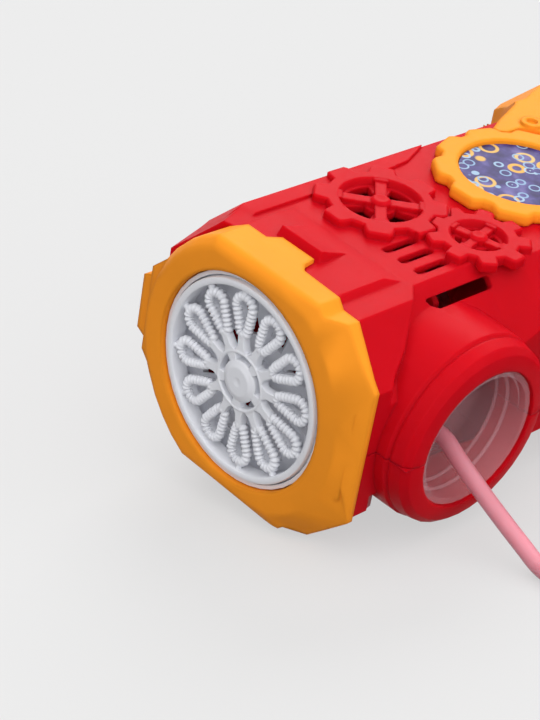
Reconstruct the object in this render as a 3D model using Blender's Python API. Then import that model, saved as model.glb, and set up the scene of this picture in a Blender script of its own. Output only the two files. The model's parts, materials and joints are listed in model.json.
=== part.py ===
"""Battery bubble blower, a toy pistol, lying on its side as on a table.

The pieces are modelled in the pistol's own axes: the muzzle faces -Y, the grip and the bottle
socket point to +X, and the left side is +Z. The empty "lying_pose" then rolls the whole toy
about its long axis onto its right side and sets it down on z = 0. All lengths are in metres.
"""
import math

import bmesh
import bpy
from mathutils import Matrix, Vector

# Clearances
GAP = 0.0003            # between fixed neighbours
RUN = 0.0005            # between the wand disc and its cup
SHAFT_PLAY = 0.00008    # around turning shafts
TOOTH_PLAY = 0.00045    # backlash, taken off each tooth flank
OCTAGON_INSET = 2 - math.sqrt(2)   # how much a 45 degree chamfer shrinks inside a wall

# Wand disc
DISC_RADIUS = 0.030
DISC_DEPTH = 0.0050
RIM_WALL = 0.0022
HUB_RADIUS = 0.0094
HUB_DEPTH = 0.0034
BOSS_RADIUS = 0.0052
BOSS_RISE = 0.0003
HUB_SLOTS = 5
LOOP_COUNT = 12
LOOP_WIRE = 0.0012
LOOP_WIDTH = 0.0064     # between the wire's middle lines at the wide end
LOOP_NECK = 0.0031      # the same at the narrow end
LOOP_TURN = math.radians(9)
RIB_COUNT = 11
RIB_RISE = 0.0003
SPOKE_WIDTH = 0.0028
SPOKE_DEPTH = 0.0024

# Collecting cup behind the disc
CUP_WALL = 0.0012
CUP_FRONT = 0.0012
CUP_DEPTH = 0.0098
CUP_FLOOR = 0.0020
CUP_TAPER = 0.0016
VANE_COUNT = 8

# Moulded body
WALL = 0.0022
TOP_MARGIN = 0.0025     # panel height beyond the muzzle bore
SIDE_MARGIN = 0.0120    # side wall beyond the muzzle bore
BODY_CHAMFER = 0.0192
FRONT_CHAMFER = 0.0142  # of the thicker front section, and along the pistol's top
FRONT_LENGTH = 0.0360
SLOPE_START = 0.0624    # the side slope behind the socket narrows from here
SLOPE_END = 0.0750
BODY_LENGTH = 0.1980
TAIL_LENGTH = 0.0300
PANEL_RISE = 0.0017
PANEL_HALF_WIDTH = 0.0200
PANEL_END = 0.0287
PANEL_RAMP = 0.0053
PAD_RISE = 0.0045
RAIL_RISE = 0.0008
RELIEF_RISE = 0.0023
RELIEF_TOOTH = 0.86      # tooth width, against the picture bezel's

# Front bezel
BEZEL_FRONT = 0.0005
BEZEL_STEP = 0.0029     # bezel flats stand this much proud of the body panel
BEZEL_PROUD = 0.0005    # the same at its sides and ledges
BEZEL_ROUND_MARGIN = 0.0094
FACE_RIM = 0.0030       # front ring's width at its flats
FACE_ROUND = 0.0070     # and round the rest
FLAT_FRONT = 0.0016     # how far back the bezel's outer edge starts: at its flats
ROUND_FRONT = 0.0028    # at its round side
LEDGE_FRONT = 0.0052    # at its ledges
SIDE_FRONT = 0.0044     # at its straight side
SIGHT_WIDTH = 0.0180
SIGHT_RISE = 0.0040
SIGHT_BACK = 0.0098
SLEEVE = (0.0020, 0.0140)   # front and back of the bezel's sleeve inside the body

# Bottle socket and suction line
SOCKET_Y = 0.0400
SOCKET_BORE = 0.0215
SOCKET_WALL = 0.0072
SOCKET_REACH = 0.0110   # beyond the side wall
SOCKET_ROUND = 0.0050
COLLAR_WALL = 0.0018
COLLAR_DEPTH = 0.0180
COLLAR_FLOOR = 0.0020
HOSE_RADIUS = 0.0025
NIPPLE_Z = -0.0066
NIPPLE_LENGTH = 0.0050
FEED_RADIUS = 0.0017

# Grip
GRIP_HALF_THICK = 0.0165
GRIP_SETBACK = 0.0700   # of the grip front wall from the rear end
GRIP_DEPTH = 0.0440
GRIP_ROUND = 0.0050

# Drive
SHAFT_RADIUS = 0.0015
GEAR_MODULE = 0.00096
PINION_TEETH = 10
GEAR_TEETH = 30
GEAR_WIDTH = 0.0040
PLATE_THICK = 0.0020
PLATE_SETBACK = 0.0168  # front plate behind the cup rim
PLATE_HALF_WIDTH = 0.0260
MOTOR_RADIUS = 0.0120
MOTOR_LENGTH = 0.0280
FAN_RADIUS = 0.0270
FAN_DEPTH = 0.0100
FAN_BLADES = 7
PUMP_RADIUS = 0.0120    # to the middle of the squeezed hose
PUMP_LOBES = 3

# Trigger
TRIGGER_DROP = 0.0095   # its middle below the side wall
TRIGGER_THICK = 0.0110
TRIGGER_HEIGHT = 0.0165
TRIGGER_REACH = 0.0120  # ahead of the grip's front wall
TRIGGER_TRAVEL = 0.0050
SPRING_COILS = 4
SPRING_RADIUS = 0.0027
SPRING_WIRE = 0.00035

# Batteries
CELL_RADIUS = 0.00725
CELL_LENGTH = 0.0505
TRAY_WALL = 0.0010
TRAY_CLEAR = 0.00085   # below the trigger
SCREW_CLEAR = 0.0004   # between the door's screw and the upper cell
CONTACT_THICK = 0.0005

# Side decoration
PICTURE_RADIUS = 0.0189
PICTURE_Y = 0.1070
RING_BAND = 0.0056
RING_TOOTH = 0.0025
RING_TEETH = 10
RING_RISE = 0.0037

# Cover over the rear of the pistol's top
COVER_THICK = 0.0042
COVER_RISE = 0.0022
HUMP_START = 0.0205     # ahead of the tail
HUMP_END = 0.0078       # the same
HUMP_RISE = 0.0045

# Screws
SCREW_RADIUS = 0.0014
SCREW_HEAD = 0.0028
SCREW_LENGTH = 0.0160
BOSS_WALL = 0.0020

# Circuit board
BOARD_Z = -0.0180
BOARD_THICK = 0.0016
BOARD_SIZE = (0.030, 0.024)

# Pose on the table
ROLL = math.radians(12.5)

# Sizes that follow from the ones above
CUP_RADIUS = DISC_RADIUS + RUN + CUP_WALL
BORE = CUP_RADIUS + GAP
HALF_HEIGHT = BORE + TOP_MARGIN
HALF_WIDTH = BORE + SIDE_MARGIN
BEZEL_HALF_HEIGHT = HALF_HEIGHT + BEZEL_STEP
BEZEL_RADIUS = BORE + BEZEL_ROUND_MARGIN
TAIL_START = BODY_LENGTH - TAIL_LENGTH
GRIP_FRONT = BODY_LENGTH - GRIP_SETBACK
BOARD_Y = GRIP_FRONT
CUP_BACK = CUP_FRONT + CUP_DEPTH
GEAR_PITCH = GEAR_MODULE * GEAR_TEETH / 2
PINION_PITCH = GEAR_MODULE * PINION_TEETH / 2
IDLER_X = -(GEAR_PITCH + PINION_PITCH)
SLEEVE_RADIUS = PINION_PITCH - 1.8 * GEAR_MODULE
FRONT_PLATE_Y = CUP_FRONT + PLATE_SETBACK
WAND_GEAR_Y = FRONT_PLATE_Y + PLATE_THICK + 0.0010
PUMP_Y = WAND_GEAR_Y + GEAR_WIDTH + 0.0020
PUMP_DEPTH = 0.0080
PUMP_PLATE_Y = PUMP_Y + PUMP_DEPTH + 0.0010
DRIVE_GEAR_Y = PUMP_PLATE_Y + PLATE_THICK + 0.0015
MOTOR_PLATE_Y = DRIVE_GEAR_Y + GEAR_WIDTH + 0.0015
MOTOR_Y = MOTOR_PLATE_Y + PLATE_THICK + GAP
FAN_Y = MOTOR_Y + MOTOR_LENGTH + 0.0040
PLATE_HALF_HEIGHT = HALF_HEIGHT - WALL - GAP
SOCKET_RADIUS = SOCKET_BORE + SOCKET_WALL
SOCKET_END = HALF_WIDTH + SOCKET_REACH
COLLAR_RADIUS = SOCKET_BORE - GAP
COLLAR_FLOOR_X = SOCKET_END - 0.0010 - COLLAR_DEPTH
GRIP_MID = GRIP_FRONT + GRIP_DEPTH / 2
CELL_SPREAD = max(CELL_RADIUS + GAP, GRIP_DEPTH / 2 - 0.0125)
CELL_RISE = math.sqrt((2 * CELL_RADIUS + GAP) ** 2 - CELL_SPREAD ** 2)
CELL_SPACE = CELL_LENGTH + 2 * CONTACT_THICK + 4 * GAP
TRIGGER_X = HALF_WIDTH + TRIGGER_DROP
TRAY_START = TRIGGER_X + TRIGGER_HEIGHT / 2 + TRAY_CLEAR
TRAY_END = TRAY_START + CELL_SPACE + 2 * TRAY_WALL
GRIP_END = TRAY_END + WALL + GRIP_ROUND / 2
TRAY_FLOOR_Z = -(GRIP_HALF_THICK - WALL - GAP)
LOW_CELL_Z = TRAY_FLOOR_Z + TRAY_WALL + GAP + CELL_RADIUS
TRAY_HALF_WIDTH = CELL_SPREAD + CELL_RADIUS + GAP + TRAY_WALL
RING_ROOT = PICTURE_RADIUS + RING_BAND
SCREW_PILOT = SCREW_RADIUS + GAP
BOSS_OUTER = SCREW_PILOT + BOSS_WALL
SCREW_SEAT = 0.0080     # depth of the head's seat below the parting plane

# Gear reliefs on each side: middle, tip and root radius, bore, teeth and spokes
BIG_RELIEF = {"x": -0.0104, "y": 0.0578, "tip": 0.0198, "root": 0.0162, "bore": 0.0122, "teeth": 8,
              "turn": math.radians(-1.3), "spoke": 0.0034, "hub": 0.0031, "spoke_turn": math.radians(45)}
SMALL_RELIEF = {"x": 0.0177, "y": 0.0690, "tip": 0.0155, "root": 0.0121, "bore": 0.0081, "teeth": 9,
                "turn": math.radians(4.9), "spoke": 0.0026, "hub": 0.0028, "spoke_turn": math.radians(15)}
VENT_XS = (0.0080, 0.0142, 0.0205)
VENT_Y = 0.0475
VENT_LENGTH = 0.0135
VENT_WIDTH = 0.0030
LONG_VENT_Y = 0.0504
LONG_VENT_LENGTH = 0.0254
LONG_VENT_WIDTH = 0.0038
LONG_VENT_DROP = 0.0047   # its middle below and beyond the panel edge

# Screw posts, as (x, y) in the parting plane
BODY_POSTS = ((-HALF_WIDTH + 0.0085, 0.030), (-HALF_WIDTH + 0.0085, 0.100),
              (-HALF_WIDTH + 0.0100, TAIL_START - 0.003), (HALF_WIDTH - 0.0080, 0.0770))
GRIP_POSTS = ((HALF_WIDTH + 0.0030, GRIP_FRONT + GRIP_DEPTH - 0.0080),)

# Suction hose, by hand: from the nipple down to the table, measured from the middle of the
# collar floor, in the pistol's axes
HOSE_BENDS = ((0.0040, 0.0, -0.0066), (0.0080, 0.0, -0.0067), (0.0140, -0.0005, -0.0093),
              (0.0240, -0.0011, -0.0132), (0.0340, -0.0017, -0.0167), (0.0430, -0.0022, -0.0196),
              (0.0507, -0.0028, -0.0216), (0.0590, -0.0038, -0.0202), (0.0700, -0.0062, -0.0178),
              (0.0820, -0.0105, -0.0151), (0.0940, -0.0165, -0.0124))
HOSE_ROUTE = tuple((COLLAR_FLOOR_X + x, SOCKET_Y + y, z) for x, y, z in HOSE_BENDS)

# Rear edge of the bezel seen from the side, as (x, y)
BEZEL_REAR = ((-0.0540, 0.0102), (-0.0300, 0.0102), (-0.0190, 0.0130), (-0.0105, 0.0130), (-0.0080, 0.0168),
              (0.0046, 0.0168), (0.0054, 0.0126), (0.0077, 0.0103), (0.0215, 0.0096), (0.0250, 0.0092),
              (0.0307, 0.0090), (0.0418, 0.0065), (0.0540, 0.0054))

# Front edge of the top cover seen from the side, as (x, distance ahead of the tail)
COVER_EDGE = ((-0.0600, 0.0080), (-0.0460, 0.0160), (-0.0330, 0.0270), (-0.0278, 0.0405), (-0.0250, 0.0462))
COVER_FRONT = tuple((x, TAIL_START - ahead) for x, ahead in COVER_EDGE)

FINISHES = {
    "red": ((0.70, 0.010, 0.018), 0.38, 0.0),
    "yellow": ((0.95, 0.36, 0.03), 0.38, 0.0),
    "white": ((0.70, 0.70, 0.74), 0.42, 0.0),
    "clear": ((0.80, 0.78, 0.80), 0.25, 0.0),
    "pink": ((0.75, 0.30, 0.36), 0.35, 0.0),
    "print": ((0.16, 0.11, 0.36), 0.30, 0.0),
    "steel": ((0.55, 0.55, 0.57), 0.35, 1.0),
    "brass": ((0.70, 0.48, 0.20), 0.35, 1.0),
    "black": ((0.03, 0.03, 0.03), 0.50, 0.0),
    "green": ((0.02, 0.22, 0.07), 0.50, 0.0),
}

AXIS_PLACE = {"X": lambda a, b, t: Vector((t, a, b)),
              "Y": lambda a, b, t: Vector((a, t, b)),
              "Z": lambda a, b, t: Vector((a, b, t))}


def clear_scene():
    for obj in list(bpy.data.objects):
        bpy.data.objects.remove(obj)


# Meshes

def mesh_object(name, bm):
    """Make an object from a bmesh, with its faces pointing out."""
    bmesh.ops.remove_doubles(bm, verts=bm.verts, dist=1e-7)
    bmesh.ops.recalc_face_normals(bm, faces=bm.faces)
    mesh = bpy.data.meshes.new(name)
    bm.to_mesh(mesh)
    bm.free()
    obj = bpy.data.objects.new(name, mesh)
    bpy.context.collection.objects.link(obj)
    return obj


def loft(name, rings):
    """Skin closed rings of equal count into a capped solid."""
    bm = bmesh.new()
    loops = [[bm.verts.new(p) for p in ring] for ring in rings]
    for low, high in zip(loops, loops[1:]):
        for i in range(len(low)):
            j = (i + 1) % len(low)
            bm.faces.new((low[i], low[j], high[j], high[i]))
    bm.faces.new(loops[0])
    bm.faces.new(loops[-1])
    return mesh_object(name, bm)


def prism(name, outline, axis, low, high):
    place = AXIS_PLACE[axis]
    return loft(name, [[place(a, b, t) for a, b in outline] for t in (low, high)])


def turned(name, profile, axis, centre, segments):
    """Turn a closed profile of (radius, along) points about an axis through centre."""
    place = AXIS_PLACE[axis]
    bm = bmesh.new()
    rings = []
    for k in range(segments):
        turn = 2 * math.pi * k / segments
        ring = [bm.verts.new(place(centre[0] + r * math.cos(turn), centre[1] + r * math.sin(turn), t))
                for r, t in profile]
        rings.append(ring)
    count = len(profile)
    for k in range(segments):
        here = rings[k]
        after = rings[(k + 1) % segments]
        for i in range(count):
            j = (i + 1) % count
            if profile[i][0] == 0.0 and profile[j][0] == 0.0:
                continue
            if profile[i][0] == 0.0:
                bm.faces.new((here[i], here[j], after[j]))
            elif profile[j][0] == 0.0:
                bm.faces.new((here[i], here[j], after[i]))
            else:
                bm.faces.new((here[i], here[j], after[j], after[i]))
    return mesh_object(name, bm)


def rod(name, radius, axis, centre, low, high, segments=16):
    return prism(name, circle(radius, segments, centre), axis, low, high)


def tube(name, inner, outer, axis, centre, low, high, segments=32):
    profile = ((inner, low), (outer, low), (outer, high), (inner, high))
    return turned(name, profile, axis, centre, segments)


def box(name, low, high):
    outline = ((low[0], low[1]), (high[0], low[1]), (high[0], high[1]), (low[0], high[1]))
    return prism(name, outline, "Z", low[2], high[2])


def moved(obj, matrix):
    obj.data.transform(matrix)
    if matrix.determinant() < 0:
        obj.data.flip_normals()
    return obj


def combine(target, tools, operation):
    """Apply a Boolean of the target with each tool, and delete the tools."""
    for tool in tools:
        cut = target.modifiers.new("cut", "BOOLEAN")
        cut.operation = operation
        cut.solver = "EXACT"
        cut.object = tool
        depsgraph = bpy.context.evaluated_depsgraph_get()
        mesh = bpy.data.meshes.new_from_object(target.evaluated_get(depsgraph))
        target.modifiers.clear()
        target.data = mesh
        bpy.data.objects.remove(tool)
    return target


def cut(target, *tools):
    return combine(target, tools, "DIFFERENCE")


def add(target, *tools):
    return combine(target, tools, "UNION")


def keep(target, *tools):
    return combine(target, tools, "INTERSECT")


def copied(obj, name):
    twin = bpy.data.objects.new(name, obj.data.copy())
    bpy.context.collection.objects.link(twin)
    return twin


# Outlines

def circle(radius, count, centre=(0.0, 0.0), start=0.0):
    return [(centre[0] + radius * math.cos(start + 2 * math.pi * k / count),
             centre[1] + radius * math.sin(start + 2 * math.pi * k / count)) for k in range(count)]


def octagon(half_width, half_height, chamfer, far_chamfer=None):
    """An eight-sided outline; the far chamfer is that of its two corners on the minus side."""
    w, h, c = half_width, half_height, chamfer
    f = c if far_chamfer is None else far_chamfer
    return [(w, c - h), (w, h - c), (w - c, h), (f - w, h), (-w, h - f), (-w, f - h), (f - w, -h),
            (w - c, -h)]


def rectangle(low, high):
    return [low, (high[0], low[1]), high, (low[0], high[1])]


def rounded_slot(length, width, steps=3):
    """A slot along the second axis, with round ends."""
    reach = (length - width) / 2
    points = []
    for side, turn in ((1, 0.0), (-1, math.pi)):
        for k in range(steps + 1):
            angle = turn + math.pi * k / steps
            points.append((width / 2 * math.cos(angle), side * reach + width / 2 * math.sin(angle)))
    return points


def shifted(outline, dx, dy):
    return [(x + dx, y + dy) for x, y in outline]


def inset(outline, distance):
    """Move each edge of an anticlockwise outline inwards by a distance."""
    count = len(outline)
    result = []
    for i in range(count):
        before = Vector(outline[i]) - Vector(outline[i - 1])
        after = Vector(outline[(i + 1) % count]) - Vector(outline[i])
        first = Vector((-before.y, before.x)).normalized()
        second = Vector((-after.y, after.x)).normalized()
        shift = (first + second) * (distance / (1 + first.dot(second)))
        result.append(tuple(Vector(outline[i]) + shift))
    return result


def toothed(teeth, root, tip, root_share, tip_share, centre=(0.0, 0.0), start=0.0):
    """A gear outline: each tooth is a trapezium, given by its shares of the pitch."""
    shape = ((0.0, -root_share / 2), (1.0, -tip_share / 2), (1.0, tip_share / 2), (0.0, root_share / 2))
    return tooth_row(shape, teeth, root, tip, centre, start)


def soft_toothed(teeth, root, tip, centre=(0.0, 0.0), start=0.0, slim=1.0):
    """A toy gear outline: wide teeth with rounded corners, slim times as wide as usual."""
    side = ((0.0, -0.41), (0.72, -0.31), (1.0, -0.23))
    half = [(rise, share * slim) for rise, share in side]
    shape = half + [(rise, -share) for rise, share in reversed(half)]
    return tooth_row(shape, teeth, root, tip, centre, start)


def relief_outline(spec, clear=0.0):
    """A gear relief's outline, grown outwards by clear."""
    return soft_toothed(spec["teeth"], spec["root"] + clear, spec["tip"] + clear, (spec["x"], spec["y"]),
                        spec["turn"], RELIEF_TOOTH)


def tooth_row(shape, teeth, root, tip, centre, start):
    """Repeat one tooth, given as (share of its height, share of its pitch), round a circle."""
    points = []
    pitch = 2 * math.pi / teeth
    for k in range(teeth):
        for rise, share in shape:
            radius = root + rise * (tip - root)
            angle = start + (k + share) * pitch
            points.append((centre[0] + radius * math.cos(angle), centre[1] + radius * math.sin(angle)))
    return points


def sector(inner, outer, middle, half_angle, centre, steps=3):
    points = []
    for radius, direction in ((inner, -1), (outer, 1)):
        for k in range(steps + 1):
            angle = middle + direction * half_angle * (2 * k / steps - 1)
            points.append((centre[0] + radius * math.cos(angle), centre[1] + radius * math.sin(angle)))
    return points


# Wand disc

def loop_path(turn):
    """Middle line of one loop: a small arc and a large one joined by straight sides, evenly spaced."""
    inner = HUB_RADIUS + 0.0048
    outer = DISC_RADIUS - RIM_WALL - LOOP_WIRE - 0.0010
    wide = LOOP_WIDTH / 2
    neck = LOOP_NECK / 2
    far = outer - wide
    near = inner + neck
    lean = math.asin((wide - neck) / (far - near))
    open_half = math.pi / 2 + lean
    shut_half = math.pi / 2 - lean
    side = math.sqrt((far - near) ** 2 - (wide - neck) ** 2)
    side_far = far - wide * math.sin(lean)
    side_near = near - neck * math.sin(lean)
    lengths = (2 * wide * open_half, side, 2 * neck * shut_half, side)
    count = 2 * RIB_COUNT
    points = []
    for k in range(count):
        run = sum(lengths) * k / count
        if run < lengths[0]:
            angle = run / wide - open_half
            along, across = far + wide * math.cos(angle), wide * math.sin(angle)
        elif run < lengths[0] + side:
            share = (run - lengths[0]) / side
            along = side_far + share * (side_near - side_far)
            across = math.cos(lean) * (wide + share * (neck - wide))
        elif run < lengths[0] + side + lengths[2]:
            angle = open_half + (run - lengths[0] - side) / neck
            along, across = near + neck * math.cos(angle), neck * math.sin(angle)
        else:
            share = (run - lengths[0] - side - lengths[2]) / side
            along = side_near + share * (side_far - side_near)
            across = -math.cos(lean) * (neck + share * (wide - neck))
        points.append(Vector((along * math.cos(turn) - across * math.sin(turn), 0.0,
                              along * math.sin(turn) + across * math.cos(turn))))
    return points


def ribbed_loops(name, depth, sides=5):
    """All loops as closed tubes in one mesh, each tube swelling at its ribs."""
    bm = bmesh.new()
    for n in range(LOOP_COUNT):
        path = loop_path(LOOP_TURN + 2 * math.pi * n / LOOP_COUNT)
        count = len(path)
        rings = []
        for k, point in enumerate(path):
            along = (path[(k + 1) % count] - path[k - 1]).normalized()
            across = along.cross(Vector((0, 1, 0)))
            radius = LOOP_WIRE + (RIB_RISE if k % 2 else -RIB_RISE)
            ring = []
            for s in range(sides):
                angle = 2 * math.pi * (s + 0.5) / sides
                offset = across * (radius * math.cos(angle)) + Vector((0, radius * math.sin(angle), 0))
                ring.append(bm.verts.new(point + offset + Vector((0, depth, 0))))
            rings.append(ring)
        for k in range(count):
            here = rings[k]
            after = rings[(k + 1) % count]
            for s in range(sides):
                bm.faces.new((here[s], here[(s + 1) % sides], after[(s + 1) % sides], after[s]))
    return mesh_object(name, bm)


def spokes(name, inner, outer, width, front, back):
    """A star of flat bars, one to each loop, joined through their middle."""
    outline = []
    step = 2 * math.pi / LOOP_COUNT
    for n in range(LOOP_COUNT):
        turn = LOOP_TURN + n * step
        for along, across in ((outer, -width / 2), (outer, width / 2)):
            outline.append((along * math.cos(turn) - across * math.sin(turn),
                            along * math.sin(turn) + across * math.cos(turn)))
        between = turn + step / 2
        outline.append((inner * math.cos(between), inner * math.sin(between)))
    return prism(name, outline, "Y", front, back)


def wand_disc():
    inner = DISC_RADIUS - RIM_WALL
    rim_round = 0.0005
    rim = turned("wand_disc", ((inner, 0.0), (DISC_RADIUS - rim_round, 0.0), (DISC_RADIUS, rim_round),
                               (DISC_RADIUS, DISC_DEPTH), (inner, DISC_DEPTH)), "Y", (0, 0), 40)
    wire_depth = LOOP_WIRE + RIB_RISE
    bar_front = wire_depth - SPOKE_DEPTH / 2
    bars = spokes("bars", HUB_RADIUS - 0.0010, HUB_RADIUS + 0.0055, SPOKE_WIDTH, bar_front,
                  bar_front + SPOKE_DEPTH)
    hub = rod("hub", HUB_RADIUS, "Y", (0, 0), 0.0004, HUB_DEPTH, 30)
    boss = turned("boss", ((0.0, -BOSS_RISE), (BOSS_RADIUS - 0.0008, -BOSS_RISE), (BOSS_RADIUS, 0.0),
                           (BOSS_RADIUS, DISC_DEPTH + 0.0005), (0.0, DISC_DEPTH + 0.0005)), "Y", (0, 0), 20)
    middle = add(hub, bars, boss)
    slot_inner = BOSS_RADIUS + 0.0011
    slot_outer = HUB_RADIUS - 0.0012
    for n in range(HUB_SLOTS):
        turn = math.pi / 2 + 2 * math.pi * n / HUB_SLOTS
        slot = prism("slot", sector(slot_inner, slot_outer, turn, 0.42, (0, 0)), "Y", -0.002, DISC_DEPTH)
        cut(middle, slot)
    cut(middle, rod("shaft_bore", SHAFT_RADIUS + GAP, "Y", (0, 0), 0.0018, DISC_DEPTH + 0.002, 12))
    add(middle, ribbed_loops("loops", wire_depth))
    stub_radius = 0.0009
    for n in range(LOOP_COUNT):
        stub = rod("stub", stub_radius, "X", (wire_depth, 0.0), inner - 0.0021, inner + RIM_WALL / 2, 6)
        turn = LOOP_TURN + 2 * math.pi * n / LOOP_COUNT
        add(rim, moved(stub, Matrix.Rotation(-turn, 4, "Y")))
    add(rim, middle)
    return rim


def collecting_cup():
    """The white cup that catches spilt liquid, with the wand's bearing and leaning air slots."""
    floor = CUP_BACK - CUP_FLOOR
    wall_in = CUP_RADIUS - CUP_WALL
    floor_radius = wall_in - CUP_TAPER
    bore = SHAFT_RADIUS + SHAFT_PLAY
    bearing = SHAFT_RADIUS + 0.0028
    bearing_front = DISC_DEPTH + 0.0015
    bearing_back = FRONT_PLATE_Y - GAP
    profile = ((bore, bearing_front), (bearing, bearing_front), (bearing, floor), (floor_radius, floor),
               (wall_in, DISC_DEPTH + RUN), (wall_in, CUP_FRONT), (CUP_RADIUS, CUP_FRONT),
               (CUP_RADIUS, CUP_BACK), (bearing, CUP_BACK), (bearing, bearing_back), (bore, bearing_back))
    cup = turned("collecting_cup", profile, "Y", (0, 0), 40)
    slot_low = bearing + 0.0068
    slot_high = floor_radius - 0.0030
    slot_half = 0.0016
    lean = Matrix.Translation((0, CUP_BACK - CUP_FLOOR / 2, 0)) @ Matrix.Rotation(0.7, 4, "X")
    for n in range(VANE_COUNT):
        slot = box("slot", (slot_low, -0.005, -slot_half), (slot_high, 0.005, slot_half))
        turn = Matrix.Rotation(2 * math.pi * (n + 0.37) / VANE_COUNT, 4, "Y")
        cut(cup, moved(slot, turn @ lean))
    return cup


# Front bezel

def bezel_edge(clear):
    """The bezel's stepped rear edge seen from the side, from -X to +X, moved back by clear."""
    return [(x, y + clear) for x, y in BEZEL_REAR]


def bezel_side(clear):
    """Everything ahead of the bezel's rear edge, as a cutter right through the body."""
    edge = bezel_edge(clear)
    ahead = -0.02
    outline = [(edge[0][0], ahead), (edge[-1][0], ahead)] + edge[::-1]
    reach = HALF_HEIGHT + 0.02
    return prism("ahead_of_edge", outline, "Z", -reach, reach)


def bezel_corners():
    """The bezel's upper half from +X round to -X, as (x, z, depth where its outer edge starts)."""
    top = BEZEL_HALF_HEIGHT
    side = HALF_WIDTH + BEZEL_PROUD
    ledge = HALF_HEIGHT + BEZEL_PROUD
    ledge_out = HALF_WIDTH - FRONT_CHAMFER + 2 * BEZEL_PROUD
    ledge_in = PANEL_HALF_WIDTH + PANEL_RISE + BEZEL_STEP
    flat_out = ledge_in - (top - ledge)
    flat_end = math.sqrt(BEZEL_RADIUS ** 2 - top ** 2)
    side_end = ledge - (side - ledge_out)
    half_way = ((side + ledge_out) / 2, (side_end + ledge) / 2)
    points = [(side, 0.0, SIDE_FRONT), (side, side_end / 2, SIDE_FRONT), (side, side_end, SIDE_FRONT),
              (*half_way, SIDE_FRONT), (ledge_out, ledge, LEDGE_FRONT), (ledge_in, ledge, FLAT_FRONT),
              (flat_out, top, FLAT_FRONT), (flat_out / 2, top, FLAT_FRONT), (0.0, top, FLAT_FRONT),
              (-flat_end / 2, top, FLAT_FRONT)]
    first = math.pi - math.asin(top / BEZEL_RADIUS)
    steps = 7
    for k in range(steps + 1):
        angle = first + (math.pi - first) * k / steps
        depth = FLAT_FRONT + (ROUND_FRONT - FLAT_FRONT) * min(1.0, k / 2)
        points.append((BEZEL_RADIUS * math.cos(angle), BEZEL_RADIUS * math.sin(angle), depth))
    return points


def front_bezel():
    upper = bezel_corners()
    corners = upper + [(x, -z, y) for x, z, y in upper[-2:0:-1]]
    front = []
    for x, z, _ in corners:
        away = math.hypot(x, z)
        reach = min(BORE + FACE_ROUND, (BORE + FACE_RIM) * away / max(abs(z), GAP))
        front.append(Vector((x * reach / away, -BEZEL_FRONT, z * reach / away)))
    shoulder = [Vector((x, y, z)) for x, z, y in corners]
    deepest = max(y for _, y in BEZEL_REAR) + 4 * GAP
    back = [Vector((x, deepest, z)) for x, z, _ in corners]
    bezel = loft("front_bezel", (front, shoulder, back))
    half = SIGHT_WIDTH / 2
    tip = -BEZEL_RADIUS - SIGHT_RISE
    root = -BEZEL_RADIUS + SIGHT_RISE
    flare = half + SIGHT_RISE
    sight = ((tip, -half), (root, -flare), (root, flare), (tip, half))
    add(bezel, prism("sight", sight, "Y", ROUND_FRONT, SIGHT_BACK))
    keep(bezel, bezel_side(0.0))
    sleeve_width = HALF_WIDTH - WALL - GAP
    sleeve_height = HALF_HEIGHT - WALL - GAP
    outline = octagon(sleeve_width, sleeve_height, BODY_CHAMFER - OCTAGON_INSET * WALL)
    sleeve = prism("sleeve", outline, "Y", *SLEEVE)
    cut(sleeve, box("gap", (-0.018, -0.01, -0.1), (0.018, 0.03, 0.1)))
    add(bezel, sleeve)
    cut(bezel, rod("muzzle", BORE, "Y", (0, 0), -0.01, 0.05, 64))
    return bezel


# Moulded shells

def body_solid(name, inward):
    """The eight-sided barrel with its tapering tail, shrunk inwards by a wall."""
    taper_start = 0.0080
    taper_end = 0.0220
    wide = BODY_CHAMFER
    slim = FRONT_CHAMFER
    tail_middle = TAIL_START + 0.6 * TAIL_LENGTH
    stations = ((0.0, 0.0, 0.0, wide, wide), (taper_start, 0.0, 0.0, wide, wide),
                (taper_end, 0.0, 0.0, wide, slim), (SLOPE_START, 0.0, 0.0, wide, slim),
                (SLOPE_END, 0.0, 0.0, slim, slim), (TAIL_START, 0.0, 0.0, slim, slim),
                (tail_middle, 0.0040, 0.0035, slim, slim), (BODY_LENGTH - inward, 0.0150, 0.0120, slim, slim))
    rings = []
    for y, narrow, lower, near, far in stations:
        outline = octagon(HALF_WIDTH - inward - narrow, HALF_HEIGHT - inward - lower,
                          near - OCTAGON_INSET * inward, far - OCTAGON_INSET * inward)
        start = y - (0.010 if y == 0.0 and inward else 0.0)
        rings.append([Vector((x, start, z)) for x, z in outline])
    return loft(name, rings)


def front_section():
    """The thicker front of the body, ending in a slanting step before the bottle socket."""
    outline = octagon(HALF_WIDTH, HALF_HEIGHT, FRONT_CHAMFER, BODY_CHAMFER)
    block = prism("front_section", outline, "Y", 0.0, FRONT_LENGTH)
    edge = HALF_WIDTH - BODY_CHAMFER
    reach = HALF_WIDTH + 0.01
    end = FRONT_LENGTH - GAP
    plan = [(-reach, -0.01), (reach, -0.01), (reach, 0.0105), (edge + 0.0193, 0.0119),
            (edge + 0.0166, 0.0149), (edge + 0.0133, 0.0209), (edge + 0.0051, 0.0305), (edge, end),
            (-reach, end)]
    return keep(block, prism("plan", plan, "Z", -0.1, 0.1))


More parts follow.
